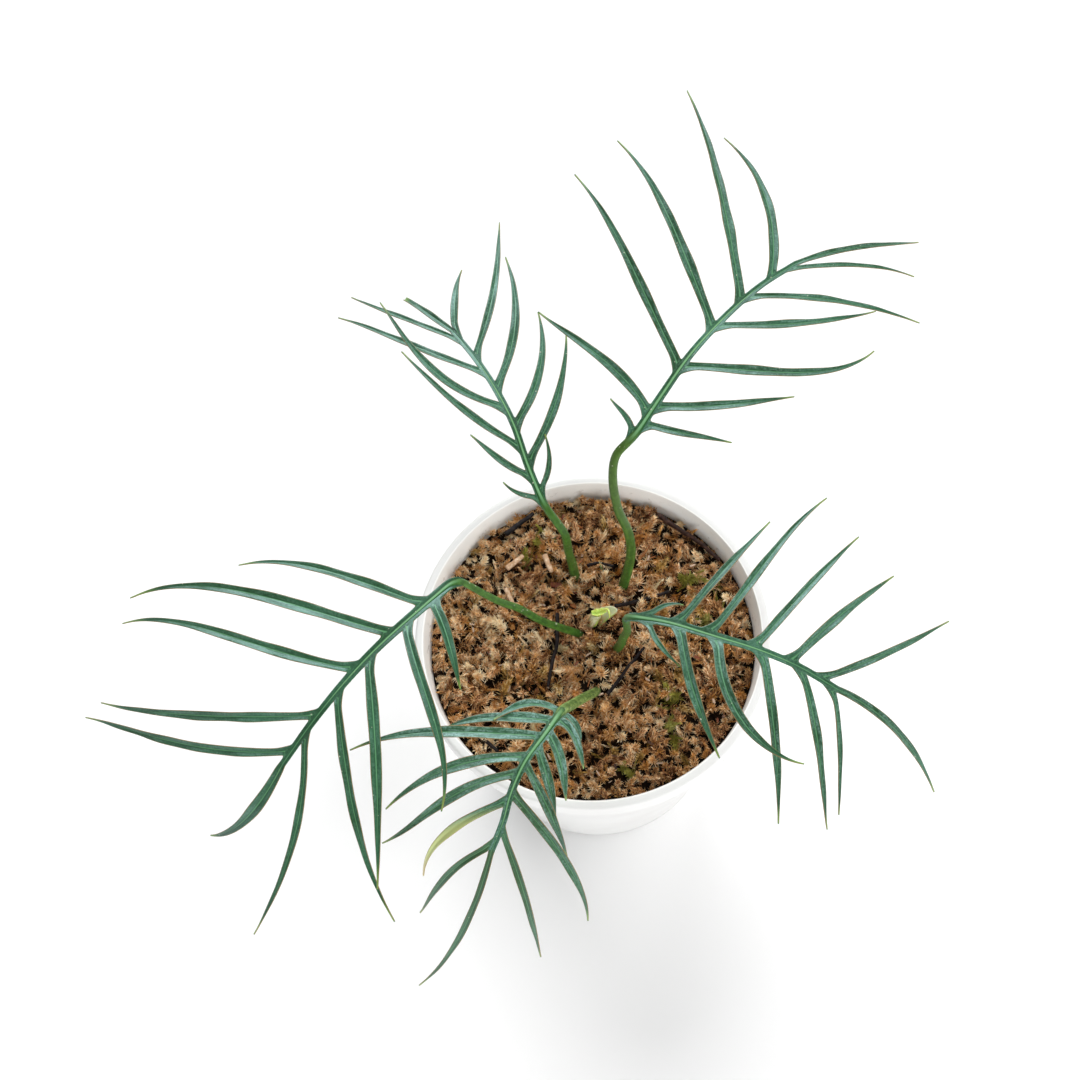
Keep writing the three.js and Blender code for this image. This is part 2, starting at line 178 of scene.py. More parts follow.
def modified(bm, kind, slots=0, **settings):  # the shape after one modifier
    shape = addObject("shape", toMesh("shape", bm))
    for _ in range(slots):
        shape.data.materials.append(None)
    modifier = shape.modifiers.new("change", kind)
    for key, value in settings.items():
        setattr(modifier, key, value)
    bpy.context.view_layer.update()
    mesh = bpy.data.meshes.new_from_object(shape.evaluated_get(bpy.context.evaluated_depsgraph_get()))
    result = bmesh.new()
    result.from_mesh(mesh)
    bpy.data.meshes.remove(shape.data)  # and its object with it
    bpy.data.meshes.remove(mesh)
    return result


def thickened(bm, thickness, underSlot=0):  # a sheet as a shell of that thickness, below its upper face
    return modified(bm, "SOLIDIFY", underSlot + 1, thickness=thickness, offset=-1,
                    material_offset=underSlot, material_offset_rim=underSlot)


# Material helpers

class Shade:  # a value or colour in a material's nodes, and the steps the finishes are made of
    def __init__(self, socket):
        self.socket = socket
        self.tree = socket.id_data

    def calculate(self, operation, first, second=0.0):
        return put(self.tree, "ShaderNodeMath", {0: first, 1: second}, operation=operation)

    def __add__(self, other):
        return self.calculate("ADD", self, other)

    def __sub__(self, other):
        return self.calculate("SUBTRACT", self, other)

    def __mul__(self, other):
        return self.calculate("MULTIPLY", self, other)

    def __abs__(self):
        return self.calculate("ABSOLUTE", self)

    def mapped(self, low, high, first, last):
        return put(self.tree, "ShaderNodeMapRange", {0: self, 1: low, 2: high, 3: first, 4: last})

    def rising(self, low, high):  # 0 below low, 1 above high
        return put(self.tree, "ShaderNodeMapRange", {0: self, 1: low, 2: high, 3: 0.0, 4: 1.0},
                   interpolation_type="SMOOTHSTEP")

    def falling(self, low, high):  # 1 below low, 0 above high
        return self.calculate("SUBTRACT", 1.0, self.rising(low, high))

    def blend(self, first, second):  # the first colour at 0, the second at 1
        return put(self.tree, "ShaderNodeMix", {0: self, 6: first, 7: second}, 2, data_type="RGBA")

    def cover(self, tint, share):  # a tint over this colour, as much as its share says
        return share.blend(self, tint)

    def stretched(self, scales):
        return put(self.tree, "ShaderNodeVectorMath", {0: self, 1: scales}, operation="MULTIPLY")

    def scaled(self, size):
        return put(self.tree, "ShaderNodeVectorMath", {0: self, 3: size}, operation="SCALE")

    def grain(self, scale, detail=3.0, roughness=0.55):
        return put(self.tree, "ShaderNodeTexNoise",
                   {"Vector": self, "Scale": scale, "Detail": detail, "Roughness": roughness})

    def parts(self):
        made = put(self.tree, "ShaderNodeSeparateXYZ", {0: self}).socket.node
        return [Shade(socket) for socket in made.outputs]

    def ramp(self, stops, interpolation="LINEAR"):
        made = put(self.tree, "ShaderNodeValToRGB", {0: self})
        ramp = made.socket.node.color_ramp
        ramp.interpolation = interpolation
        for number, (position, tint) in enumerate(stops):
            stop = ramp.elements[number] if number < 2 else ramp.elements.new(position)
            stop.position = position
            stop.color = tint
        return made


def put(tree, kind, inputs, output=0, **settings):  # adds a node, feeds it, and gives its output
    made = tree.nodes.new(kind)
    for key, value in settings.items():
        setattr(made, key, value)
    for key, value in inputs.items():
        if isinstance(value, Shade):
            tree.links.new(value.socket, made.inputs[key])
        else:
            made.inputs[key].default_value = value
    return Shade(made.outputs[output])


def newMaterial(name, looks):
    material = bpy.data.materials.new(name)
    material.use_nodes = True
    for key, value in looks.items():
        material.node_tree.nodes["Principled BSDF"].inputs[key].default_value = value
    return material, material.node_tree


def linked(material, inputs):  # its shader's inputs, by name, taken from the nodes
    tree = material.node_tree
    for key, value in inputs.items():
        tree.links.new(value.socket, tree.nodes["Principled BSDF"].inputs[key])
    return material


def finished(material, base, height, strength, distance):  # with its colour, and its bump in metres
    bump = put(material.node_tree, "ShaderNodeBump",
               {"Height": height, "Strength": strength, "Distance": distance})
    return linked(material, {"Base Color": base, "Normal": bump})


def readMarks(tree, name):
    return put(tree, "ShaderNodeAttribute", {}, "Vector", attribute_name=name)


def objectPlace(tree):
    return put(tree, "ShaderNodeTexCoord", {}, "Object")


def colour(red, green, blue):
    return (red, green, blue, 1.0)


# Leaf

sectionPlaces = (-1, -0.6, -0.18, 0, 0.18, 0.6, 1)  # across a blade, from edge to edge
sectionRise = (0.46, 0.26, 0.05, 0, 0.05, 0.26, 0.46)  # how far each stands up, in half-widths
leafLooks = {
    "dark": colour(0.010, 0.054, 0.007),
    "bluish": colour(0.032, 0.118, 0.052),
    "silver": colour(0.24, 0.40, 0.36),
    "midrib": colour(0.10, 0.28, 0.12),
    "margin": colour(0.30, 0.17, 0.07),
    "tip": colour(0.24, 0.38, 0.05),
    "withered": colour(0.50, 0.54, 0.20),
    "dry": colour(0.66, 0.52, 0.30),
    "under": colour(0.07, 0.17, 0.07),
    "stalk": colour(0.042, 0.165, 0.013),
    # a darker green for the stalk's streaks, also used as painted shade in the petiole's groove and low down
    # near the moss
    "stalkDarkAndShade": colour(0.028, 0.085, 0.012),
    "stalkOlive": colour(0.070, 0.118, 0.020),
    "stalkYellow": colour(0.30, 0.41, 0.12),
    # the rachis's paler ridge, brightened as a painted highlight along its top, and painted shade on its
    # flanks
    "ridge": colour(0.17, 0.38, 0.18),
    "ridgeShadedFlank": colour(0.026, 0.105, 0.032),
    "fleck": colour(0.62, 0.62, 0.50),
}


def leafUpperMaterial():
    material, tree = newMaterial("leaf_upper", {
        "Roughness": 0.40, "IOR": 1.6, "Specular IOR Level": 1.0, "Specular Tint": colour(0.62, 0.90, 0.94)})
    strip, place = readMarks(tree, "strip"), objectPlace(tree)
    silver, yellow, share = readMarks(tree, "tone").parts()
    edge = abs(strip.parts()[0])
    streaks = strip.stretched((1.0, 0.7, 1.0)).grain(3.2, 4.0, 0.62)
    dust = place.grain(1300.0, 2.0, 0.7)
    frost = streaks.rising(0.38, 0.62) * dust.rising(0.30, 0.58) * silver
    base = place.grain(45.0, 2.0).rising(0.32, 0.68).blend(leafLooks["dark"], leafLooks["bluish"])
    base = base.cover(leafLooks["silver"], frost).scaled(dust.mapped(0.3, 0.7, 0.72, 1.28))
    # a darker band either side of the midrib: painted shade in the fold's groove
    base = base.cover(leafLooks["dark"], edge.rising(0.04, 0.14) * edge.falling(0.14, 0.34) * 0.45)
    base = base.cover(leafLooks["midrib"], edge.falling(0.04, 0.13) * share.falling(0.5, 0.98) * 0.9)
    base = base.cover(leafLooks["tip"], share.rising(0.86, 0.98) * 0.75)
    base = base.cover(leafLooks["withered"], yellow)
    base = base.cover(leafLooks["dry"], yellow * share.rising(0.7, 1.0))
    base = base.cover(leafLooks["margin"], edge.rising(0.93, 1.0) * 0.8)
    base = base.cover(leafLooks["fleck"], place.grain(900.0, 1.0).rising(0.75, 0.80) * 0.7)
    return finished(material, base, streaks + dust, 0.4, 0.0003)


def leafUnderMaterial():
    material, tree = newMaterial("leaf_under", {"Roughness": 0.55, "Specular IOR Level": 0.3})
    edge = abs(readMarks(tree, "strip").parts()[0])
    yellow = readMarks(tree, "tone").parts()[1]
    patches = objectPlace(tree).grain(120.0, 3.0)
    base = patches.rising(0.3, 0.7).blend(leafLooks["under"], leafLooks["bluish"])
    base = base.cover(leafLooks["withered"], yellow)
    base = base.cover(leafLooks["margin"], edge.rising(0.8, 0.98) * 0.75)
    return finished(material, base, patches, 0.3, 0.0002)


def stalkMaterial():
    material, tree = newMaterial("stalk", {"Roughness": 0.42, "Specular IOR Level": 0.35})
    strip, place = readMarks(tree, "strip"), objectPlace(tree)
    facing, _, yellow = strip.parts()
    pale, olive, _ = readMarks(tree, "tone").parts()
    lines = strip.stretched((3.0, 0.8, 1.0)).grain(2.6, 4.0, 0.65)
    relief = lines + place.grain(480.0, 3.0, 0.6)
    shade = (relief * 0.5).rising(0.40, 0.62)
    # a pale stripe along the rachis's top, its own paler ridge brightened as a painted highlight, with
    # painted shade on the flanks
    ridge = facing.rising(0.86, 0.97).blend(leafLooks["ridgeShadedFlank"], leafLooks["ridge"])
    base = shade.blend(leafLooks["stalkDarkAndShade"], leafLooks["stalk"])
    base = base.cover(leafLooks["stalkYellow"], yellow * shade)
    # darker low down, where the stalks go into the moss: painted shade
    base = base.cover(leafLooks["stalkDarkAndShade"], place.parts()[2].falling(0.103, 0.112) * 0.6)
    # darker along the petiole's top, in its groove: painted shade
    base = base.cover(leafLooks["stalkDarkAndShade"], facing.rising(0.80, 0.97) * 0.5)
    base = base.cover(leafLooks["stalkOlive"], olive).cover(ridge, pale)
    base = base.cover(leafLooks["fleck"], place.grain(640.0, 1.0).rising(0.74, 0.78) * 0.8)
    return finished(material, base, relief, 0.5, 0.0004)


# A leaflet is place on the rachis, length, angle to it, bend, hook, width, and its own lift and droop if any.
leaves = {
    "leaf_rear_right": {
        "petiole": [(9, 14, 88), (14, 20, 103), (17, 22, 120), (18, 22, 136), (17, 23, 151), (14, 26, 164),
                    (13, 31, 178), (15, 36, 187), (21, 39, 191)],
        "petioleRadius": (2.05, 1.55), "rachisWidth": (3.0, 2.0), "columnStep": 0.95,
        "rachis": [(21, 39, 191), (33, 52, 196), (45, 65, 199), (59, 78, 199), (73, 89, 198), (88, 99, 194)],
        "face": (0.05, -0.25, 1), "olive": (0.05, 0.5), "silver": 0.35, "yellow": 0.2,
        "left": {"lift": 8, "droop": 24, "leaflets": [
            (1, 16, 43, -84, 49, 1.9, 16, 30), (11, 54, 64, -48, 31, 3.2), (30, 82, 62, 12, -22, 3.2),
            (49, 82, 63, 8, -24, 3.5), (64, 88, 55, 2, -10, 3.4), (79, 63, 42, -42, -7, 3.4)]},
        "right": {"lift": 10, "droop": 32, "leaflets": [
            (7, 32, 78, 26, -16, 2.3), (14, 50, 63, 28, -11, 3.0), (31, 73, 60, -1, 53, 3.1),
            (51, 63, 51, 28, 1, 2.5), (67, 67, 41, -10, 1, 2.2), (87, 56, 25, -3, -7, 1.6)]},
        "end": {"lift": 4, "droop": 30, "leaflets": [(92, 63, -11, 18, -20, 2.0)]},
    },
    "leaf_rear_left": {
        "petiole": [(-1, 19, 88), (-3, 27, 103), (-4, 27, 120), (-5, 25, 137), (-6, 24, 154), (-12, 30, 167)],
        "petioleRadius": (2.05, 1.45), "rachisWidth": (2.8, 2.0), "columnStep": 0.95,
        "rachis": [(-12, 30, 167), (-16, 44, 173), (-19, 58, 177), (-24, 73, 178), (-30, 87, 177),
                   (-37, 101, 174)],
        "face": (0, -0.15, 1), "olive": (0.05, 0.15), "silver": 0.35, "yellow": 0.1,
        "left": {"lift": 10, "droop": 28, "leaflets": [
            (3, 15, 71, 51, 8, 1.5), (11, 27, 54, 54, -28, 2.3), (22, 57, 47, 33, -11, 2.3),
            (38, 64, 58, 88, -38, 2.6, 16, 22), (54, 66, 41, 27, -16, 2.4), (72, 56, 29, 12, 5, 1.8)]},
        "right": {"lift": 10, "droop": 26, "leaflets": [
            (5, 22, 61, 73, -16, 1.7, 24, 20), (16, 51, 54, 35, -1, 2.8), (30, 47, 59, 55, -2, 2.8),
            (46, 59, 56, 58, -12, 3.0), (62, 65, 54, 37, -11, 2.6), (76, 32, 30, -9, -3, 2.6)]},
        "end": {"lift": 4, "droop": 20, "leaflets": [(78, 29, 14, 9, -8, 2.3)]},
    },
    "leaf_left": {
        "petiole": [(0, 5, 90), (-5, 4, 104), (-12, 2.5, 117), (-18.5, 1.5, 129), (-25, 2, 141),
                    (-32, 1.5, 152), (-38, 2, 162), (-45, 3, 174)],
        "petioleRadius": (1.6, 1.25), "rachisWidth": (3.8, 2.4), "columnStep": 0.95,
        "rachis": [(-45, 3, 174), (-59, -8, 176), (-74, -19, 175), (-87, -29, 171), (-100, -39, 163),
                   (-112, -49, 154)],
        "face": (-0.15, -0.2, 1), "olive": (0.0, 0.0), "silver": 0.15, "yellow": 0.15,
        "left": {"lift": 10, "droop": 28, "leaflets": [
            (12, 34, 73, 24, -13, 3.7), (24, 68, 60, -24, 53, 3.4, 14, 28), (41, 79, 54, 13, 1, 3.6),
            (57, 81, 52, 1, -18, 3.0), (76, 79, 47, 60, -13, 2.4)]},
        "right": {"lift": 9, "droop": 30, "leaflets": [
            (15, 69, 62, -9, 33, 3.2), (30, 99, 58, -13, 46, 3.8), (47, 94, 56, -29, 48, 3.4),
            (68, 94, 47, -6, -3, 3.1), (84, 92, 47, -32, 24, 3.0)]},
        "end": {"lift": 0, "droop": 30, "leaflets": [(90, 51, 9, 36, 22, 3.8)]},
    },
    "leaf_right": {
        "petiole": [(7, 0, 89), (9, -4, 104), (10, -10, 125), (10, -16, 146), (11, -21, 167), (10, -24, 188)],
        "petioleRadius": (1.8, 1.4), "rachisWidth": (3.2, 2.2), "columnStep": 0.95,
        "rachis": [(10, -24, 188), (23, -30, 193), (37, -37, 194), (51, -43, 192), (64, -49, 187),
                   (76, -56, 180)],
        "face": (0.1, -0.15, 1), "olive": (0.0, 0.15), "silver": 0.4,
        "left": {"lift": 10, "droop": 28, "leaflets": [
            (8, 14, 52, 26, 38, 1.7), (19, 48, 67, -1, -2, 2.7), (30, 64, 68, -12, 23, 2.7),
            (45, 56, 67, 4, 4, 2.7), (58, 52, 69, 22, -5, 3.0), (70, 57, 47, -8, 4, 2.3)]},
        "right": {"lift": 6, "droop": 40, "leaflets": [
            (9, 20, 70, 63, -26, 1.7), (20, 46, 67, 24, -4, 3.5), (33, 55, 79, 67, 24, 3.5, 14, 34),
            (48, 58, 65, 5, -4, 3.0), (62, 57, 51, -8, 19, 2.7), (75, 45, 54, -4, 15, 1.7)]},
        "end": {"lift": 0, "droop": 34, "leaflets": [(77, 61, 6, 36, -11, 2.5)]},
    },
    "leaf_front": {
        "petiole": [(0, -13, 89), (-1.1, -20.3, 105), (-4.3, -26.6, 120), (-7.8, -32.7, 134),
                    (-11.2, -39.3, 149), (-15, -46, 164)],
        "petioleRadius": (1.7, 1.9), "rachisWidth": (3.2, 2.2), "columnStep": 0.75,
        "rachis": [(-15, -46, 164), (-21, -54, 167), (-29, -63, 167), (-35, -72, 163), (-39, -80, 157),
                   (-44, -87, 150)],
        "face": (-0.1, -0.3, 1), "olive": (0.0, 0.0), "silver": 0.9, "fade": 0.0, "fresh": 0.05,
        "yellow": 1.0,
        "left": {"lift": 2, "droop": 62, "leaflets": [
            (0, 14, 106, 32, 19, 3.4), (4, 21, 100, 87, -74, 3.9), (10, 26, 71, 53, -43, 3.8),
            (16, 28, 59, 10, -4, 3.2), (23, 40, 60, 14, 3, 3.0), (34, 59, 66, 30, 24, 3.0, 4, 46),
            (47, 62, 43, 30, 0, 2.3, 4, 46)]},
        "right": {"lift": 6, "droop": 40, "leaflets": [
            (0, 26, 86, 98, -34, 3.7), (5, 39, 58, -9, 25, 3.8), (12, 68, 55, -10, 29, 3.8),
            (21, 55, 61, 45, 0, 3.5), (27, 59, 59, 68, -52, 3.2), (37, 50, 56, 42, 21, 2.8),
            (54, 50, 42, 60, -31, 2.3)]},
        "end": {"lift": -4, "droop": 20, "leaflets": [(56, 76, 7, 25, 5, 2.1)]},
    },
}

leafShape = {
    "blade": 0.42,  # thickness
    "startBack": 6,  # the wings begin this far down the petiole
    "knee": 5,  # the bend from petiole to rachis is rounded this far to both sides
    "fuller": 1.1,  # widens every leaflet a little
    "tipWidth": 0.3,
    "bluntWidth": 1.9,
    "blunt": ("leaf_rear_left", "end", 0),
    "withering": ("leaf_front", "right", 5),
    "twist": 14,  # degrees, at most
    "wave": 0.2,  # share of the half-width
    "bulge": 0.06,
    "midribRadius": 0.34,
    "stationStep": 3.2,
    "ease": (0, 0.7, 1.5, 2.5, 3.8, 5.4),  # the closer stations at a leaflet's foot
}


def leafletWidth(width, share, tipWidth):
    root = mix(0.78, 1, smoothStep(0, 0.3, share))
    taper = 1 if share < 0.4 else 1 - ((share - 0.4) / 0.6) ** 1.3
    return max(width * root * taper, tipWidth)


def leafletSpine(face, spine, side, group, row):  # the midrib of a leaflet, and its frame at a distance
    place, length, angle, bend, hook = row[:5]
    lift, droop = row[6:] or (group["lift"], group["droop"])
    root, forward, _ = spine(place)
    normal = squareTo(face, forward)
    outward = normal.cross(forward) * side
    steps = 60

    def heading(share):
        turn = math.radians(angle - bend * share - hook * share ** 3)
        pitch = math.radians(lift - droop * share)
        return (forward * (math.cos(pitch) * math.cos(turn)) + outward * (math.cos(pitch) * math.sin(turn))
                + normal * math.sin(pitch))

    points = [root.copy()]
    for i in range(steps):
        points.append(points[-1] + heading((i + 0.5) / steps) * (length / steps))

    def at(distance):
        share = clamp(distance / length)
        number = min(int(share * steps), steps - 1)
        point = points[number].lerp(points[number + 1], share * steps - number)
        along = heading(share)
        return point, along, squareTo(normal, along)

    return at


def leafSpine(leaf):  # petiole and rachis as one line; distance 0 is where the rachis starts
    petioleAt, petioleLength = smoothCurve(leaf["petiole"])
    rachisAt, rachisLength = smoothCurve(leaf["rachis"])
    face = Vector(leaf["face"])
    knee = leafShape["knee"]
    before, wayIn = petioleAt(petioleLength - knee)
    after, wayOut = rachisAt(knee)

    def spine(distance):
        distance = min(distance, rachisLength)
        if distance <= -knee:
            point, way = petioleAt(petioleLength + distance)
        elif distance >= knee:
            point, way = rachisAt(distance)
        else:
            bent = (distance + knee) / (2 * knee)
            point, way = hermite(before, wayIn, after, wayOut, bent, (after - before).length)
        return point, way, squareTo(face, way)

    return spine, petioleLength, rachisLength


def layLeaflet(sheet, leaf, path, row, root):  # a folded blade on its midrib, joined to its root
    length, width = row[1], row[5] * leafShape["fuller"]
    leave, bases, fades, twist, phase = (root[key] for key in ("leave", "bases", "fades", "twist", "phase"))
    strip, tone = vertexMarks(sheet, "strip"), vertexMarks(sheet, "tone")
    ease = leafShape["ease"]
    steps = max(round((length - leave) / leafShape["stationStep"]), 4)
    rest = [ease[-1] + (length - leave - ease[-1]) * (i / steps) for i in range(steps + 1)]
    stations = [leave + d for d in [*ease[:-1], *rest]]

    def bladePoint(distance, j):
        share = clamp(distance / length)
        point, along, normal = path(distance)
        across = normal.cross(along)
        lean = twist * math.sin(share * 3.0 + phase * 0.3) * smoothStep(0.0, 0.35, share)
        across, normal = (across * math.cos(lean) + normal * math.sin(lean),
                          normal * math.cos(lean) - across * math.sin(lean))
        half = leafletWidth(width, share, root["tipWidth"]) / 2
        half *= 1 + leafShape["bulge"] * math.sin(distance * 0.23 + phase * 2)
        wave = math.sin(distance * 0.33 + phase + sectionPlaces[j]) * leafShape["wave"]
        rise = (sectionRise[j] + wave * abs(sectionPlaces[j]) * smoothStep(0.05, 0.3, share)) * half
        return point + across * (sectionPlaces[j] * half) + normal * rise

    offsets = [bases[j] - bladePoint(leave, j) for j in range(7)]

    def placeBlade(vertex, column, j):
        distance = stations[column]
        fade = max(0, 1 - (distance - leave) / fades[j]) ** 2
        vertex.co = bladePoint(distance, j) + offsets[j] * fade
        share = clamp(distance / length)
        yellow = leaf.get("fresh", 0) * root["share"]
        if root["withers"]:
            yellow = smoothStep(0.05, 0.6, share + 0.15 * sectionPlaces[j])
        silver = leaf["silver"] * mix(1, leaf.get("fade", 1), root["share"])
        vertex[strip] = (sectionPlaces[j], distance / 10, root["pattern"])
        vertex[tone] = (silver * (1 - smoothStep(0.5, 1, share)), yellow, share)

    layGrid(sheet, len(stations) - 1, 6, placeBlade)


def buildLeafSheet(name, leaf, spine, rachisLength):  # the wings of the rachis, and every leaflet
    draw = random.Random(name)
    back = leafShape["startBack"]
    columns = round((rachisLength + back) / leaf["columnStep"])
    step = (rachisLength + back) / columns
    wide, narrow = leaf["rachisWidth"]
    sheet = bmesh.new()
    strip, tone = vertexMarks(sheet, "strip"), vertexMarks(sheet, "tone")
    midribs = []

    def halfWidth(distance):
        if distance < 0:
            return mix(leaf["petioleRadius"][1] * 0.8, wide / 2, smoothStep(-back, 0, distance))
        return mix(wide, narrow, distance / rachisLength) / 2

    def stripPoint(column, row):
        distance = column * step - back
        point, way, normal = spine(distance)
        half = halfWidth(distance)
        side = normal.cross(way)
        return point + side * (sectionPlaces[row] * half) + normal * (sectionRise[row] * half * 0.5)

    def placeStrip(vertex, column, row):
        vertex.co = stripPoint(column, row)
        vertex[strip] = (sectionPlaces[row] * 0.8, (column * step) / 10, 0)
        vertex[tone] = (leaf["silver"] * 0.5, 0, 0)

    layGrid(sheet, columns, 6, placeStrip)

    for sideName, side in (("left", 1), ("right", -1), ("end", 1)):
        free = 0  # the columns up to here have their leaflet
        for number, row in enumerate(leaf[sideName]["leaflets"]):
            at, length, angle, width = row[0], row[1], math.radians(row[2]), row[5] * leafShape["fuller"]
            key = (name, sideName, number)
            root = {"share": at / rachisLength, "pattern": number + 1 + 8 * (side < 0),
                    "tipWidth": leafShape["bluntWidth" if key == leafShape["blunt"] else "tipWidth"],
                    "withers": key == leafShape["withering"]}
            if sideName == "end":
                root["leave"] = 0.2
                root["bases"] = [stripPoint(columns, j) for j in range(7)]
                root["fades"] = [3.5] * 7
            else:
                half = halfWidth(at)
                near = at + half / math.tan(angle) + width * 0.39 / math.sin(angle) + 0.5
                last = min(max(round((near + back) / step), free + 6), columns)
                free = last
                edgeRow = 6 if side > 0 else 0
                basal = clamp(length * 0.10, 1.8, 5)
                root["leave"] = half / max(math.sin(angle), 0.4)
                root["bases"] = [
                    stripPoint(last - j if side > 0 else last - 6 + j, edgeRow) for j in range(7)]
                root["fades"] = [mix(1.6, basal, (1 + sectionPlaces[j] * side) / 2) for j in range(7)]
            root["twist"] = math.radians(draw.uniform(-1, 1) * leafShape["twist"])
            root["phase"] = draw.uniform(0, 6.28)
            path = leafletSpine(Vector(leaf["face"]), spine, side, leaf[sideName], row)
            layLeaflet(sheet, leaf, path, row, root)
            midribs.append((path, length, width))

    bmesh.ops.remove_doubles(sheet, verts=sheet.verts[:], dist=0.01)
    return sheet, midribs


def buildLeaf(name, leaf, materials):
    spine, petioleLength, rachisLength = leafSpine(leaf)
    sheet, midribs = buildLeafSheet(name, leaf, spine, rachisLength)
    bm = thickened(sheet, leafShape["blade"], 1)
    strip, tone = vertexMarks(bm, "strip"), vertexMarks(bm, "tone")
    foot, top = leaf["petioleRadius"]
    total = petioleLength + rachisLength
    knee = petioleLength / total
    bladeFaces = set(bm.faces)

    def stalkSpine(distance):
        point, way, normal = spine(distance - petioleLength)
        sink = smoothStep(petioleLength - 4, petioleLength + 10, distance) * 0.5
        return point - normal * sink, way, normal

    def stalkRadius(share, turn):
        if share <= knee:
            radius = mix(foot, top, share / knee)
        else:
            radius = mix(top, 0.42, ((share - knee) / (1 - knee)) ** 0.45)
        groove = 0.16 * smoothStep(0.75, 1, math.cos(turn)) * (1 - smoothStep(knee - 0.1, knee, share))
        return radius * (1 - groove)

    def markStalk(vertex, share, facing):
        low, high = leaf["olive"]
        onRachis = smoothStep(knee * 0.97, knee * 1.06, share)
        olive = mix(low, high, smoothStep(knee * 0.35, knee * 0.8, share)) * (1 - onRachis)
        vertex[strip] = (facing, share * total / 10, leaf.get("yellow", 0))
        vertex[tone] = (onRachis * 0.95, olive, share)

    def markRib(vertex, share, facing):
        vertex[strip] = (1, share * 4, 0)
        vertex[tone] = (0.9, 0, share)

    layRod(bm, stalkSpine, total, stalkRadius, 96, 14, markStalk)
    for path, length, width in midribs:
        def ribSpine(distance, path=path):
            point, along, normal = path(distance + 1.0)
            return point - normal * (leafShape["blade"] * 0.8), along, normal

        def ribRadius(share, turn, width=width):
            return leafShape["midribRadius"] * mix(width / 2.6, 0.2, share)

        layRod(bm, ribSpine, (length - 1) * 0.86, ribRadius, 16, 6, markRib)
    for face in bm.faces:
        if face not in bladeFaces:
            face.material_index = 2
    piece = newPiece(name + "_blade", bm, materials, rounds=1)
    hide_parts(name)


leafMaterials = (leafUpperMaterial(), leafUnderMaterial(), stalkMaterial())
for leafName, leafData in leaves.items():
    buildLeaf(leafName, leafData, leafMaterials)
print("leaves grown")


# Pot

pot = {
    "height": 110, "rimOuter": 134, "rimInner": 127, "base": 96, "wall": 1.5, "band": 9, "skirt": 1.1,
    "segments": 144, "drainHoles": 8, "drainHole": 7, "drainCircle": 32,
    "plastic": colour(0.77, 0.77, 0.76), "dull": colour(0.71, 0.70, 0.69),
    # inner is lighter than the outside plastic: painted light on the pot's inner wall
    "inner": colour(0.93, 0.92, 0.90), "soil": colour(0.16, 0.10, 0.06),
}


def potInside(z):
    bottom = pot["base"] / 2 - pot["wall"]
    return mix(bottom, pot["rimInner"] / 2, (z - pot["wall"]) / (pot["height"] - pot["wall"]))


def potMaterial():
    material, tree = newMaterial("white_plastic", {})
    place = objectPlace(tree)
    x, y, z = place.parts()
    radius = put(tree, "ShaderNodeVectorMath", {0: put(tree, "ShaderNodeCombineXYZ", {0: x, 1: y})}, 1,
                 operation="LENGTH")
    height = pot["height"]
    wall = z.mapped(0.0, height / 1000, potInside(0) / 1000, potInside(height) / 1000)
    inside = (radius - wall).falling(0.0005, 0.0009)
    cloud = place.grain(22.0, 4.0)
    dirt = place.grain(260.0, 5.0, 0.7).rising(0.56, 0.70) * inside * z.falling(0.101, 0.1095)
    specks = place.grain(420.0, 1.0).rising(0.80, 0.83) * inside
    # the inside is painted lighter than the outside, as painted light on the inner wall
    base = cloud.rising(0.4, 0.75).blend(pot["plastic"], pot["dull"]).cover(pot["inner"], inside)
    base = base.cover(pot["soil"], dirt * 0.65).cover(pot["soil"], specks * 0.5)
    linked(material, {"Roughness": cloud.mapped(0.0, 1.0, 0.30, 0.48)})
    return finished(material, base, place.grain(420.0, 2.0), 0.12, 0.0002)


def buildPot():
    rim = pot["rimOuter"] / 2
    mouth = pot["rimInner"] / 2
    top = pot["height"]
    bandFoot = top - pot["band"]
    under = top - pot["wall"]
    skirt = rim - pot["skirt"]
    profile = [
        (0, 0), (44, 0), (46.6, 0.1), (47.5, 0.6), (48.05, 1.5),
        (potInside(bandFoot) + pot["wall"], bandFoot),
        (potInside(under - 0.5) + pot["wall"], under - 0.5), (skirt - 0.5, under - 0.1), (skirt, under - 0.6),
        (skirt, bandFoot + 0.3), (skirt + 0.3, bandFoot), (rim - 0.3, bandFoot), (rim, bandFoot + 0.3),
        (rim, top - 1.3), (rim - 0.15, top - 0.5), (rim - 0.6, top - 0.1), (rim - 1.2, top),
        (mouth + 0.9, top), (mouth + 0.3, top - 0.15), (potInside(top - 0.9), top - 0.9),
        (potInside(60), 60), (potInside(4), 4), (potInside(1.5) - 0.8, 2.2), (potInside(1.5) - 2.5, 1.5),
        (0, 1.5),
    ]
    drills = bmesh.new()
    for number in range(pot["drainHoles"]):
        centre = polar(1, 2 * math.pi * number / pot["drainHoles"]).to_3d() * pot["drainCircle"]
        bmesh.ops.create_cone(drills, cap_ends=True, segments=32, radius1=pot["drainHole"] / 2,
                              radius2=pot["drainHole"] / 2, depth=6, matrix=Matrix.Translation(centre))
    cutter = addObject("drills", toMesh("drills", drills))
    wall = turned(profile, pot["segments"], 0.005)
    drilled = modified(wall, "BOOLEAN", operation="DIFFERENCE", solver="EXACT", object=cutter)
    bpy.data.objects.remove(cutter)
    piece = newPiece("pot_shell", drilled, (potMaterial(),), sharp=38)
    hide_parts("pot")


buildPot()
print("pot turned")


# Moss, round the twigs

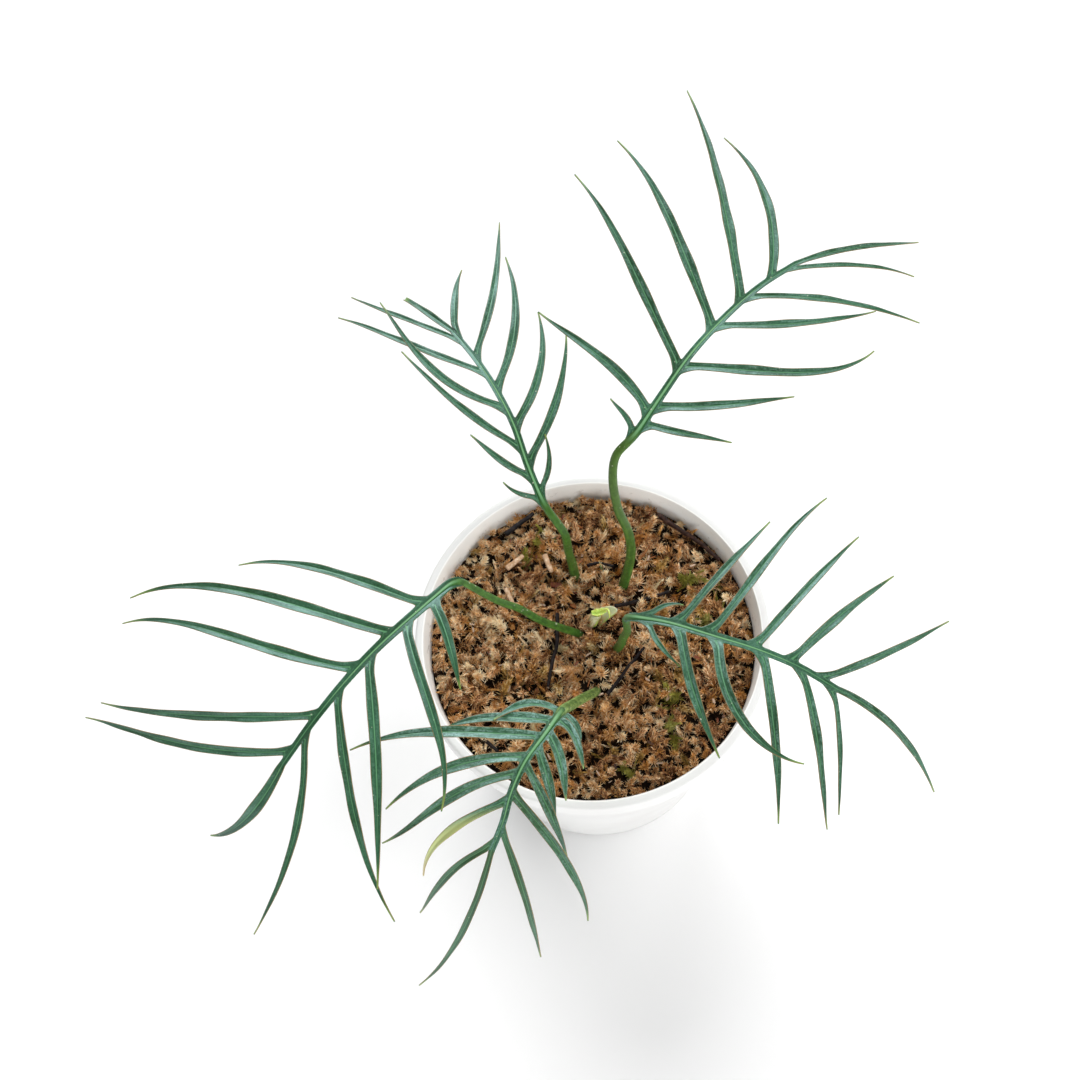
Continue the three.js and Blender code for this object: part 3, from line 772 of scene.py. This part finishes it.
twigs = {
    "twig_1": {"points": [(10, 12), (20, 13), (32, 16)], "diameter": 1.2},
    "twig_2": {"points": [(3, -23), (11, -14), (19, -6)], "diameter": 1.1},
    "twig_3": {"points": [(-12, 12), (-13, 2), (-16, -8), (-19, -17)], "diameter": 1.3},
    "twig_4": {"points": [(2, 30), (6, 31), (12, 28)], "diameter": 1.1},
    "twig_5": {"points": [(32, 49), (39, 42), (46, 36), (53, 27)], "diameter": 1.6, "look": "redTwig"},
    "twig_6": {"points": [(-28, 48), (-22, 52), (-16, 56)], "diameter": 1.8, "flat": 0.5},
    "twig_7": {"points": [(-45, -33), (-40, -39)], "diameter": 1.3},
    "twig_8": {"points": [(22, 30), (27, 36)], "diameter": 1.1, "look": "orangeTwig"},
    "straw_1": {"points": [(-29, 33), (-22, 38)], "diameter": 1.8},
    "straw_2": {"points": [(-14, 37), (-12, 29)], "diameter": 1.8},
    "straw_3": {"points": [(-30, 25), (-28, 18)], "diameter": 1.5},
}
moss = {
    "middle": 105.5, "edgeDrop": 3.5, "rightDrop": 2.5, "bedDrop": 3.4, "inner": 61.9, "radius": 58.5,
    "tufts": 820, "tuftSpacing": 3.35, "rimTufts": 105, "branches": 900, "litter": 120,
    # the first two colour the bed under the tufts as painted shade in the hollows; dark also starts the
    # sprigs' colour ramp
    "shadeBlack": colour(0.008, 0.005, 0.003), "dark": colour(0.045, 0.020, 0.009),
    "rust": colour(0.32, 0.140, 0.045), "gold": colour(0.62, 0.315, 0.095), "ochre": colour(0.74, 0.36, 0.07),
    "pinkish": colour(0.60, 0.31, 0.16), "tan": colour(0.95, 0.63, 0.31), "pale": colour(0.97, 0.83, 0.58),
    "olive": colour(0.30, 0.32, 0.045),
    "greenTufts": ((-14, 46), (-21, 37), (26, -27), (40, 21), (44, 4), (24, -38), (50, 14), (6, -52)),
}
sprigKinds = {  # a stem with pointed flakes all round it, standing along Z
    "rosette": {"stem": 2.6, "flakes": 92, "tilt": (1.6, 0.35), "length": 2.3, "width": 0.36, "curl": 0.8},
    "brush": {"stem": 5.2, "flakes": 96, "tilt": (1.2, 0.45), "length": 2.3, "width": 0.34, "curl": 0.7},
    "branch": {"stem": 6.8, "flakes": 68, "tilt": (1.05, 0.3), "length": 1.9, "width": 0.44, "curl": 0.35},
}
sprigsPerKind = 7
litterLooks = (colour(0.56, 0.44, 0.34), colour(0.13, 0.022, 0.016), colour(0.32, 0.10, 0.03),
               colour(0.02, 0.013, 0.012))


def mossTop(x, y):
    edge = math.hypot(x, y) / 63.5
    lumps = (math.sin(x * 0.52 + 1.3) * math.sin(y * 0.47 + 0.4)
             + 0.6 * math.sin((x + y) * 0.43 + 2) * math.sin((x - y) * 0.39))
    rightDrop = moss["rightDrop"] * clamp(x / 63.5)
    return moss["middle"] - moss["edgeDrop"] * edge ** 3 - rightDrop + lumps * (1 - 0.5 * edge)


def mound(x, y):  # the tufts stand in mounds with hollows between them
    return noise.noise(Vector((x * 0.13, y * 0.13, 7))) * 3.4


def mossMaterial():
    material, tree = newMaterial("moss_sprigs", {"Roughness": 0.7, "Specular IOR Level": 0.3})
    tint, green, share = readMarks(tree, "tone").parts()
    place = objectPlace(tree)
    speckle = place.grain(1100.0, 3.0, 0.7) - 0.5
    tone = tint + speckle * 0.9 + share * 0.72 + (place.grain(95.0, 2.0) - 0.5) * 0.9
    golden, pinkish = (
        tone.ramp(((0.0, moss["dark"]), (0.26, moss["rust"]), (0.50, moss[middle]), (0.78, moss["tan"]),
                   (1.0, moss["pale"])))
        for middle in ("gold", "pinkish"))
    drift = place.grain(75.0, 2.0).rising(0.42, 0.60)
    base = (drift - green).rising(0.2, 1.3).blend(golden, pinkish)
    base = base.cover(moss["ochre"], place.grain(130.0, 1.0).rising(0.52, 0.64) * 0.5)
    base = base.cover(moss["olive"], green.rising(0.0, 1.0))
    return finished(material, base, speckle, 0.5, 0.0004)


def mossBedShadeMaterial():
    material, tree = newMaterial("moss_bed", {"Roughness": 0.95, "Specular IOR Level": 0.1})
    # the bed under the tufts is painted near black: painted shade in the hollows between them
    lumps = objectPlace(tree).grain(240.0, 5.0, 0.7)
    base = lumps.rising(0.45, 0.75).blend(moss["shadeBlack"], moss["dark"])
    return finished(material, base, lumps, 1.0, 0.0015)


def buildMossBed():
    bottom, shoulder, level = 2.0, 99, 102  # heights of its foot, its side's end and its unshaped top
    outline = [(0, bottom), (potInside(bottom) - 0.5, bottom), (moss["inner"] - 0.6, shoulder)]
    outline += [(moss["inner"] * (1 - i / 30), level) for i in range(31)]
    bm = turned(outline, 120, 0.01)
    for vertex in bm.verts:
        if vertex.co.z > level - 1:
            roughness = noise.noise(vertex.co * 0.35) * 1.2
            vertex.co.z = mossTop(vertex.co.x, vertex.co.y) - moss["bedDrop"] + roughness
    piece = newPiece("moss_bed", bm, (mossBedShadeMaterial(),))
    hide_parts("moss")


def sprigMesh(kind, number):
    draw = random.Random(number)
    bm = bmesh.new()
    tone = vertexMarks(bm, "tone")
    stem = kind["stem"] * draw.uniform(0.8, 1.2)
    lean = Vector((draw.uniform(-1, 1), draw.uniform(-1, 1), 0)) * stem * 0.22
    for k in range(kind["flakes"]):
        share = (k + 0.5) / kind["flakes"]
        foot = Vector((0, 0, stem * share)) + lean * share ** 2
        turn = k * 2.4 + draw.uniform(-0.5, 0.5)
        tilt = mix(*kind["tilt"], share ** 0.8) + draw.uniform(-0.25, 0.25)
        out = polar(1, turn).to_3d()
        way = out * math.sin(tilt) + Vector((0, 0, math.cos(tilt)))
        back = Vector((0, 0, math.sin(tilt))) - out * math.cos(tilt)
        side = way.cross(back)
        size = kind["length"] * mix(1.15, 0.8, share) * draw.uniform(0.7, 1.25)
        curl = kind["curl"] * draw.uniform(-0.5, 1.3)
        tint = draw.gauss(0, 0.17)

        def place(vertex, column, row):
            width = (0.4, 1.0, 0.0)[column] * kind["width"] / 2
            vertex.co = (foot + way * (size * column / 2) + side * (width * (row * 2 - 1))
                         + back * ((0.0, -0.2, 0.3)[column] * curl * 2))
            vertex[tone] = (tint, 0, column / 2)

        layGrid(bm, 2, 1, place)
    bmesh.ops.remove_doubles(bm, verts=bm.verts[:], dist=0.004)
    return toMesh("sprig", bm)


def gather(name, sprigs, placed, material):  # copies of the sprigs, a batch at a time, as one piece
    whole = bmesh.new()
    vertexMarks(whole, "tone")
    for start in range(0, len(placed), 40):
        batch = bmesh.new()
        vertexMarks(batch, "tone")
        for number, matrix, tint, green in placed[start:start + 40]:
            known = len(batch.verts)
            batch.from_mesh(sprigs[number])
            batch.verts.ensure_lookup_table()
            tone = vertexMarks(batch, "tone")
            fresh = batch.verts[known:]
            bmesh.ops.transform(batch, matrix=matrix, verts=fresh)
            for vertex in fresh:
                flakeTint, _, share = vertex[tone]
                vertex[tone] = (tint + flakeTint, green, share)
        mesh = toMesh("batch", batch)
        whole.from_mesh(mesh)
        bpy.data.meshes.remove(mesh)
    newPiece(name, whole, (material,))
    print(name, len(placed))


def standing(spot, way, turn, size):  # a matrix that stands a sprig at a point, along a direction
    upright = way.to_track_quat("Z", "Y").to_matrix().to_4x4()
    return Matrix.Translation(spot) @ upright @ Matrix.Rotation(turn, 4, "Z") @ Matrix.Scale(size, 4)


def nearTwig(x, y):  # how far a point is from the nearest twig, straw or the new shoot
    nearest = (Vector((x, y)) - Vector((3, 8))).length - 4.0
    spot = Vector((x, y, 0))
    for twig in twigs.values():
        points = [Vector((a, b, 0)) for a, b in twig["points"]]
        for before, after in zip(points, points[1:]):
            along = after - before
            share = clamp((spot - before).dot(along) / along.length_squared)
            nearest = min(nearest, (before + along * share - spot).length)
    return nearest


def mossTint(draw, spot):
    drift = noise.noise(Vector((spot.x, spot.y, 3)) * 0.09) * 0.22
    # brighter towards the left, painted light, and darker towards the front, painted shade
    drift += 0.10 * smoothStep(10, -40, spot.x) - 0.12 * smoothStep(-10, -50, spot.y)
    return clamp(draw.gauss(0.24, 0.23) + drift, 0.0, 1.0)


def mossHue(draw, spot):  # below 0 is pinkish, above 0 is green
    if any((spot - Vector(other)).length < 3.2 for other in moss["greenTufts"]):
        return 0.75
    return draw.uniform(-1, 0) if draw.random() < 0.93 else 0.35


def spotWithin(draw, reach):  # evenly over a disc
    radius = reach * math.sqrt(draw.random())
    return polar(radius, draw.uniform(0, 2 * math.pi))


def scatterCentres(draw):
    centres = []
    for _ in range(40000):
        spot = spotWithin(draw, moss["radius"])
        if all((spot - other).length > moss["tuftSpacing"] for other in centres):
            centres.append(spot)
        if len(centres) >= moss["tufts"]:
            break
    for number in range(moss["rimTufts"]):
        angle = 2 * math.pi * (number + draw.uniform(-0.3, 0.3)) / moss["rimTufts"]
        centres.append(polar(draw.uniform(59.4, 60.7), angle))
    return centres


def placeTufts(draw):
    tufts = {"moss_tufts_left": [], "moss_tufts_right": []}
    for spot in scatterCentres(draw):
        rim = smoothStep(50, 60, spot.length)
        top = mossTop(spot.x, spot.y)
        height = top - 2.7 + (mound(spot.x, spot.y) + draw.uniform(-0.9, 0.9)) * (1 - 0.5 * rim)
        height += 1.1 * smoothStep(58, 60, spot.length)
        if nearTwig(spot.x, spot.y) < 3.2:
            height = min(height, top - 3.5)
        angle = draw.uniform(0, 2 * math.pi)
        brush = draw.random() < 0.66
        slant = draw.uniform(0.2, 1.6) if brush else draw.uniform(0, 0.8)
        way = Vector((*polar(slant, angle), 1)).normalized()
        inward = spot.to_3d().normalized()
        way = (way - inward * (max(0, way.dot(inward)) * rim) - inward * (0.25 * rim)).normalized()
        size = draw.uniform(0.85, 1.4) * (1 - 0.25 * rim)
        foot = spot.to_3d() - Vector((way.x, way.y, 0)) * (1.6 if brush else 0.4) * size
        foot.z = height
        number = draw.randrange(sprigsPerKind) + (sprigsPerKind if brush else 0)
        side = "moss_tufts_left" if spot.x < 0 else "moss_tufts_right"
        tufts[side].append((number, standing(foot, way, draw.uniform(0, 6.28), size),
                            mossTint(draw, spot), mossHue(draw, spot)))
    return tufts


def placeBranches(draw):
    placed = []
    while len(placed) < moss["branches"]:
        spot = spotWithin(draw, 59.5)
        turn = draw.uniform(0, 2 * math.pi)
        rise = draw.uniform(0.05, 1.0)
        way = Vector((*polar(1, turn), rise)).normalized()
        size = draw.uniform(0.5, 0.95)
        end = spot + way.xy * (7.5 * size)
        if end.length > 61.4 or nearTwig(*spot) < 1.5 or nearTwig(*end) < 1.5:
            continue
        # deep sets how high a sprig lies; the lower ones are painted darker, as painted shade in the hollows
        deep = draw.random()
        height = mossTop(spot.x, spot.y) + mix(-3.4, -0.8, deep) + mound(spot.x, spot.y) - rise * 1.2
        placed.append((draw.randrange(sprigsPerKind) + 2 * sprigsPerKind,
                       standing((spot.x, spot.y, height), way, turn, size),
                       mossTint(draw, spot) - 0.16 * (1 - deep), mossHue(draw, spot)))
    return placed


def growMoss():
    draw = random.Random(7)
    sprigs = []
    for start, kind in enumerate(sprigKinds.values()):
        sprigs += [sprigMesh(kind, number + start * 50) for number in range(sprigsPerKind)]
    look = mossMaterial()
    for name, placed in placeTufts(draw).items():
        gather(name, sprigs, placed, look)
    gather("moss_branches", sprigs, placeBranches(draw), look)
    for mesh in sprigs:
        bpy.data.meshes.remove(mesh)


def litterMaterial():
    material, tree = newMaterial("litter", {"Roughness": 0.6})
    stops = [(number / 4, tint) for number, tint in enumerate(litterLooks)]
    fibres = objectPlace(tree).grain(800.0, 4.0, 0.7)
    base = readMarks(tree, "tone").parts()[0].ramp(stops, "CONSTANT")
    return finished(material, base.cover(moss["rust"], fibres.rising(0.35, 0.8)), fibres, 0.6, 0.0004)


def layLitter():  # curled scraps of bark and dead leaf on the moss
    draw = random.Random(21)
    bm = bmesh.new()
    tone = vertexMarks(bm, "tone")
    scraps = [(Vector((-11, 25)), 4.6, 2.4, 0.3), (Vector((-9, 22.5)), 3.4, 1.8, 0.3)]
    while len(scraps) < moss["litter"]:
        spot = spotWithin(draw, 58)
        length = draw.uniform(1.0, 3.0)
        kind = draw.choice((0.1, 0.1, 0.3, 0.6, 0.9))
        scraps.append((spot, length, length * draw.uniform(0.15, 0.5), kind))
    for spot, length, width, kind in scraps:
        turn = Matrix.Rotation(draw.uniform(0, 6.28), 4, "Z")
        turn @= Matrix.Rotation(draw.uniform(-0.7, 0.7), 4, "Y")
        height = mossTop(spot.x, spot.y) + 0.5 + mound(spot.x, spot.y) * 0.8
        middle = Matrix.Translation((spot.x, spot.y, height))
        bend = draw.uniform(-0.5, 0.7)

        def place(vertex, column, row):
            along = column / 4 - 0.5
            across = (row / 2 - 0.5) * (1 - 1.4 * along * along)
            lift = bend * length * (along * along) + width * 0.5 * across * across
            vertex.co = middle @ turn @ Vector((along * length, across * width, lift))
            vertex[tone] = (kind, 0, 0)

        layGrid(bm, 4, 2, place)
    newPiece("moss_litter", thickened(bm, 0.22), (litterMaterial(),), rounds=1)


def growSprout():  # a thin green blade that stands up from the moss
    bm = bmesh.new()
    strip, tone = vertexMarks(bm, "strip"), vertexMarks(bm, "tone")
    curve, length = smoothCurve(((7.6, 28.5, 102), (7.2, 29.4, 105.5), (6.6, 30.6, 109.5)))

    def mark(vertex, share, facing):
        vertex[strip] = (0, share, 0)
        vertex[tone] = (0, 0.8 * share, share)

    def radius(share, turn):
        return 0.55 * (1 - share ** 2 * 0.85)

    layRod(bm, steadySpine(curve, (1, 0, 0)), length, radius, 12, 8, mark)
    newPiece("moss_sprout", bm, (leafMaterials[0],), rounds=1)


buildMossBed()
growMoss()
layLitter()
growSprout()
print("moss laid")


# Twigs and straws

twigShape = {"lift": 1.9, "wander": 0.35, "knots": 0.16, "endWidth": 0.75}
twigKinds = {"twig": {"swell": 1.4, "flat": 1.0}, "straw": {"swell": 1.5, "flat": 0.5}}
twigLooks = {
    "twig": (colour(0.004, 0.003, 0.004), colour(0.032, 0.022, 0.020)),
    "redTwig": (colour(0.020, 0.009, 0.007), colour(0.10, 0.050, 0.034)),
    "orangeTwig": (colour(0.16, 0.06, 0.018), colour(0.42, 0.20, 0.07)),
    "straw": (colour(0.50, 0.30, 0.17), colour(0.82, 0.64, 0.46)),
}


def twigMaterial(key):
    material, tree = newMaterial(key, {"Roughness": 0.6, "Specular IOR Level": 0.25})
    fibres = objectPlace(tree).grain(700.0, 4.0, 0.7)
    return finished(material, fibres.rising(0.4, 0.75).blend(*twigLooks[key]), fibres, 0.6, 0.0004)


def buildTwig(name, twig, materials):
    draw = random.Random(name)
    slot = name.split("_")[0]
    kind = {**twigKinds[slot], **twig}
    points = [(x, y, mossTop(x, y) + kind["diameter"] * 0.15) for x, y in kind["points"]]
    curve, length = smoothCurve(points)
    seed = Vector((draw.uniform(0, 50), 0, 0))

    def spine(distance):
        point, way = curve(distance)
        wander = noise.noise_vector(point * 0.25 + seed) * twigShape["wander"]
        return point + wander + Vector((0, 0, twigShape["lift"])), way, squareTo(Vector((0, 0, 1)), way)

    def radius(share, turn):
        knot = noise.noise(Vector((share * length * 0.8, math.cos(turn), math.sin(turn))) + seed)
        squash = mix(kind["flat"], 1, abs(math.sin(turn)))
        return (kind["diameter"] / 2 * kind["swell"] * mix(1.0, twigShape["endWidth"], share)
                * (1 + twigShape["knots"] * knot) * squash)

    bm = bmesh.new()
    layRod(bm, spine, length, radius, max(round(length / 0.9), 10), 8)
    piece = newPiece(name + "_bark", bm, (materials[kind.get("look", slot)],), rounds=1)
    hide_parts(name)


twigMaterials = {key: twigMaterial(key) for key in twigLooks}
for twigName, twigData in twigs.items():
    buildTwig(twigName, twigData, twigMaterials)
print("twigs laid")


# New shoot

shoot = {
    "foot": Vector((0, 7, 96)), "height": 16.5, "wall": 0.4,
    "span": (-38, 252),  # degrees, from right to left
    "acrossRadius": (2.5, 4.9), "deepRadius": (2.4, 2.1), "lean": (6.0, 1.6), "lipDrop": 0.13,
    "leafEnds": ((1.0, 8.9, 111.0), (3.6, 8.6, 111.8), (6.6, 8.8, 112.2)), "leafDeep": 1.5, "leafFold": 2.6,
    "lobe": ((5.6, 9.3, 112.3), (7.0, 8.9, 112.9), (7.5, 7.9, 112.7), (7.6, 6.6, 111.6), (7.5, 6.0, 110.6)),
    "stem": ((0.6, 7.4, 98), (2.4, 8.0, 105), (3.8, 8.6, 110.2)), "leafThickness": 0.35,
    "skirt": colour(0.86, 0.86, 0.56), "vein": colour(0.62, 0.58, 0.28), "pink": colour(0.62, 0.32, 0.22),
    "inside": colour(0.72, 0.78, 0.56), "edgeGreen": colour(0.40, 0.58, 0.08),
    "leafYellow": colour(0.56, 0.74, 0.07), "leafLight": colour(0.86, 0.93, 0.42),
}


def sheathMaterial(name, light, dark, low, high):
    material, tree = newMaterial(name, {
        "Roughness": 0.42, "Subsurface Weight": 0.3, "Subsurface Scale": 0.001})
    across, up, _ = readMarks(tree, "strip").parts()
    stripes = put(tree, "ShaderNodeCombineXYZ", {0: across, 1: up * 0.2}).grain(26.0, 3.0)
    base = stripes.rising(low, high).blend(shoot[light], shoot[dark])
    if name == "sheath_outer":
        base = base.cover(shoot["pink"], up.falling(0.40, 0.60) * 0.85)
    base = base.cover(shoot["edgeGreen"], across.falling(0.01, 0.09) * 0.8)
    return finished(material, base, stripes, 0.4, 0.0003)


def newLeafMaterial():
    material, tree = newMaterial("new_leaf", {
        "Roughness": 0.38, "Subsurface Weight": 0.25, "Subsurface Scale": 0.001})
    folds = readMarks(tree, "strip").grain(6.0, 3.0)
    base = folds.rising(0.35, 0.7).blend(shoot["leafYellow"], shoot["leafLight"])
    return finished(material, base, folds, 0.3, 0.0003)


def buildSheath():
    columns, rows = 30, 12
    bm = bmesh.new()
    strip = vertexMarks(bm, "strip")

    def place(vertex, column, row):
        across = column / columns
        up = row / rows
        turn = math.radians(mix(*shoot["span"], across))
        lip = 1 - shoot["lipDrop"] * (1 - math.cos(turn)) / 2 - 0.1 * (1 - smoothStep(0, 0.1, across))
        ripple = 1 + 0.05 * math.sin(across * 23) * up ** 2
        wide = mix(*shoot["acrossRadius"], up ** 1.6) * ripple
        deep = mix(*shoot["deepRadius"], up) * ripple
        x = wide * math.cos(turn) + shoot["lean"][0] * up ** 1.7
        y = deep * math.sin(turn) + shoot["lean"][1] * up
        vertex.co = shoot["foot"] + Vector((x, y, up * shoot["height"] * lip))
        vertex[strip] = (across, up, 0)

    layGrid(bm, columns, rows, place)
    looks = (sheathMaterial("sheath_outer", "skirt", "vein", 0.42, 0.62),
             sheathMaterial("sheath_inner", "inside", "skirt", 0.35, 0.75))
    piece = newPiece("sheath", thickened(bm, shoot["wall"], 1), looks, rounds=2)
    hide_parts("new_shoot")


def buildNewLeaf():  # a folded trough, the lobe beside it and the stem below
    columns, rows = 14, 8
    bm = bmesh.new()
    strip = vertexMarks(bm, "strip")
    fold, foldLength = smoothCurve(shoot["leafEnds"])

    def place(vertex, column, row):
        share = column / columns
        across = row / rows * 2 - 1
        point, way = fold(share * foldLength)
        closing = math.sin(math.pi * clamp(0.12 + share * 0.8)) ** 0.7
        side = Vector((0, 1, 0)) * (across * shoot["leafFold"] / 2 * closing)
        hollow = shoot["leafDeep"] * closing * (1 - abs(across) ** 1.6)
        wrinkle = 0.25 * math.sin(share * 17 + across * 2) * abs(across)
        vertex.co = point + side - Vector((0, 0, hollow - wrinkle))
        vertex[strip] = (across, share * 2, 0)

    layGrid(bm, columns, rows, place)
    bm = thickened(bm, shoot["leafThickness"])
    strip = vertexMarks(bm, "strip")

    def mark(vertex, share, facing):
        vertex[strip] = (facing, share * 2, 0)

    def lobeRadius(share, turn):
        return 0.5 * math.sin(math.pi * (0.2 + share * 0.7))

    def stemRadius(share, turn):
        return mix(1.5, 0.9, share)

    lobe, lobeLength = smoothCurve(shoot["lobe"])
    stem, stemLength = smoothCurve(shoot["stem"])
    layRod(bm, steadySpine(lobe, (0.6, 0, 1)), lobeLength, lobeRadius, 14, 8, mark)
    layRod(bm, steadySpine(stem, (1, 0, 0)), stemLength, stemRadius, 10, 10, mark)
    piece = newPiece("new_leaf_fold", bm, (newLeafMaterial(),), rounds=2)
    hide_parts("new_leaf")


buildSheath()
buildNewLeaf()
print("new shoot made")


# Floor, light and camera

stage = {
    "floorSize": 12.0, "floor": colour(0.92, 0.92, 0.92), "sky": colour(1.0, 1.0, 1.0), "skyStrength": 0.19,
    "lights": {
        "back_light": {"from": (-0.05, 0.80, 0.62), "strength": 2.6, "angle": 45, "gloss": True},
        "side_light": {"from": (0.62, 0.10, 0.78), "strength": 1.5, "angle": 45, "gloss": False},
        "front_light": {"from": (0.15, -0.90, 0.30), "strength": 2.4, "angle": 50, "gloss": False},
    },
    "cameraPlace": (-0.01483, -0.24099, 0.74424), "elevation": 65.96, "roll": -7.195, "lens": 60,
}


def buildFloor():
    bm = bmesh.new()
    bmesh.ops.create_grid(bm, x_segments=1, y_segments=1, size=stage["floorSize"] / 2)
    material, tree = newMaterial("floor", {"Roughness": 0.8})
    lighter = colour(*(min(1.0, part * 1.02) for part in stage["floor"][:3]))
    cloud = objectPlace(tree).grain(3.0, 2.0)
    floor = addObject("floor", toMesh("floor", bm))
    floor.data.materials.append(linked(material, {"Base Color": cloud.blend(stage["floor"], lighter)}))


def addLight(name, settings):
    light = bpy.data.lights.new(name, "SUN")
    light.energy = settings["strength"]
    light.angle = math.radians(settings["angle"])
    lamp = addObject(name, light)
    lamp.rotation_euler = (-Vector(settings["from"])).to_track_quat("-Z", "Y").to_euler()
    lamp.visible_glossy = settings["gloss"]


def addSky():  # lights the plant softly, and looks white behind it
    world = bpy.data.worlds.new("sky")
    world.use_nodes = True
    tree = world.node_tree
    strength = put(tree, "ShaderNodeLightPath", {}).mapped(0.0, 1.0, stage["skyStrength"], 1.0)
    tree.links.new(strength.socket, tree.nodes["Background"].inputs["Strength"])
    tree.nodes["Background"].inputs["Color"].default_value = stage["sky"]
    bpy.context.scene.world = world


def addCamera():
    camera = bpy.data.cameras.new("camera")
    camera.lens = stage["lens"]
    camera.sensor_width = 36
    viewer = addObject("camera", camera)
    tilt = Matrix.Rotation(math.radians(90 - stage["elevation"]), 4, "X")
    roll = Matrix.Rotation(math.radians(stage["roll"]), 4, "Z")
    viewer.matrix_world = Matrix.Translation(stage["cameraPlace"]) @ tilt @ roll
    bpy.context.scene.camera = viewer


buildFloor()
for lightName, lightData in stage["lights"].items():
    addLight(lightName, lightData)
addSky()
addCamera()
bpy.context.scene.view_settings.view_transform = "Standard"
print("stage set")
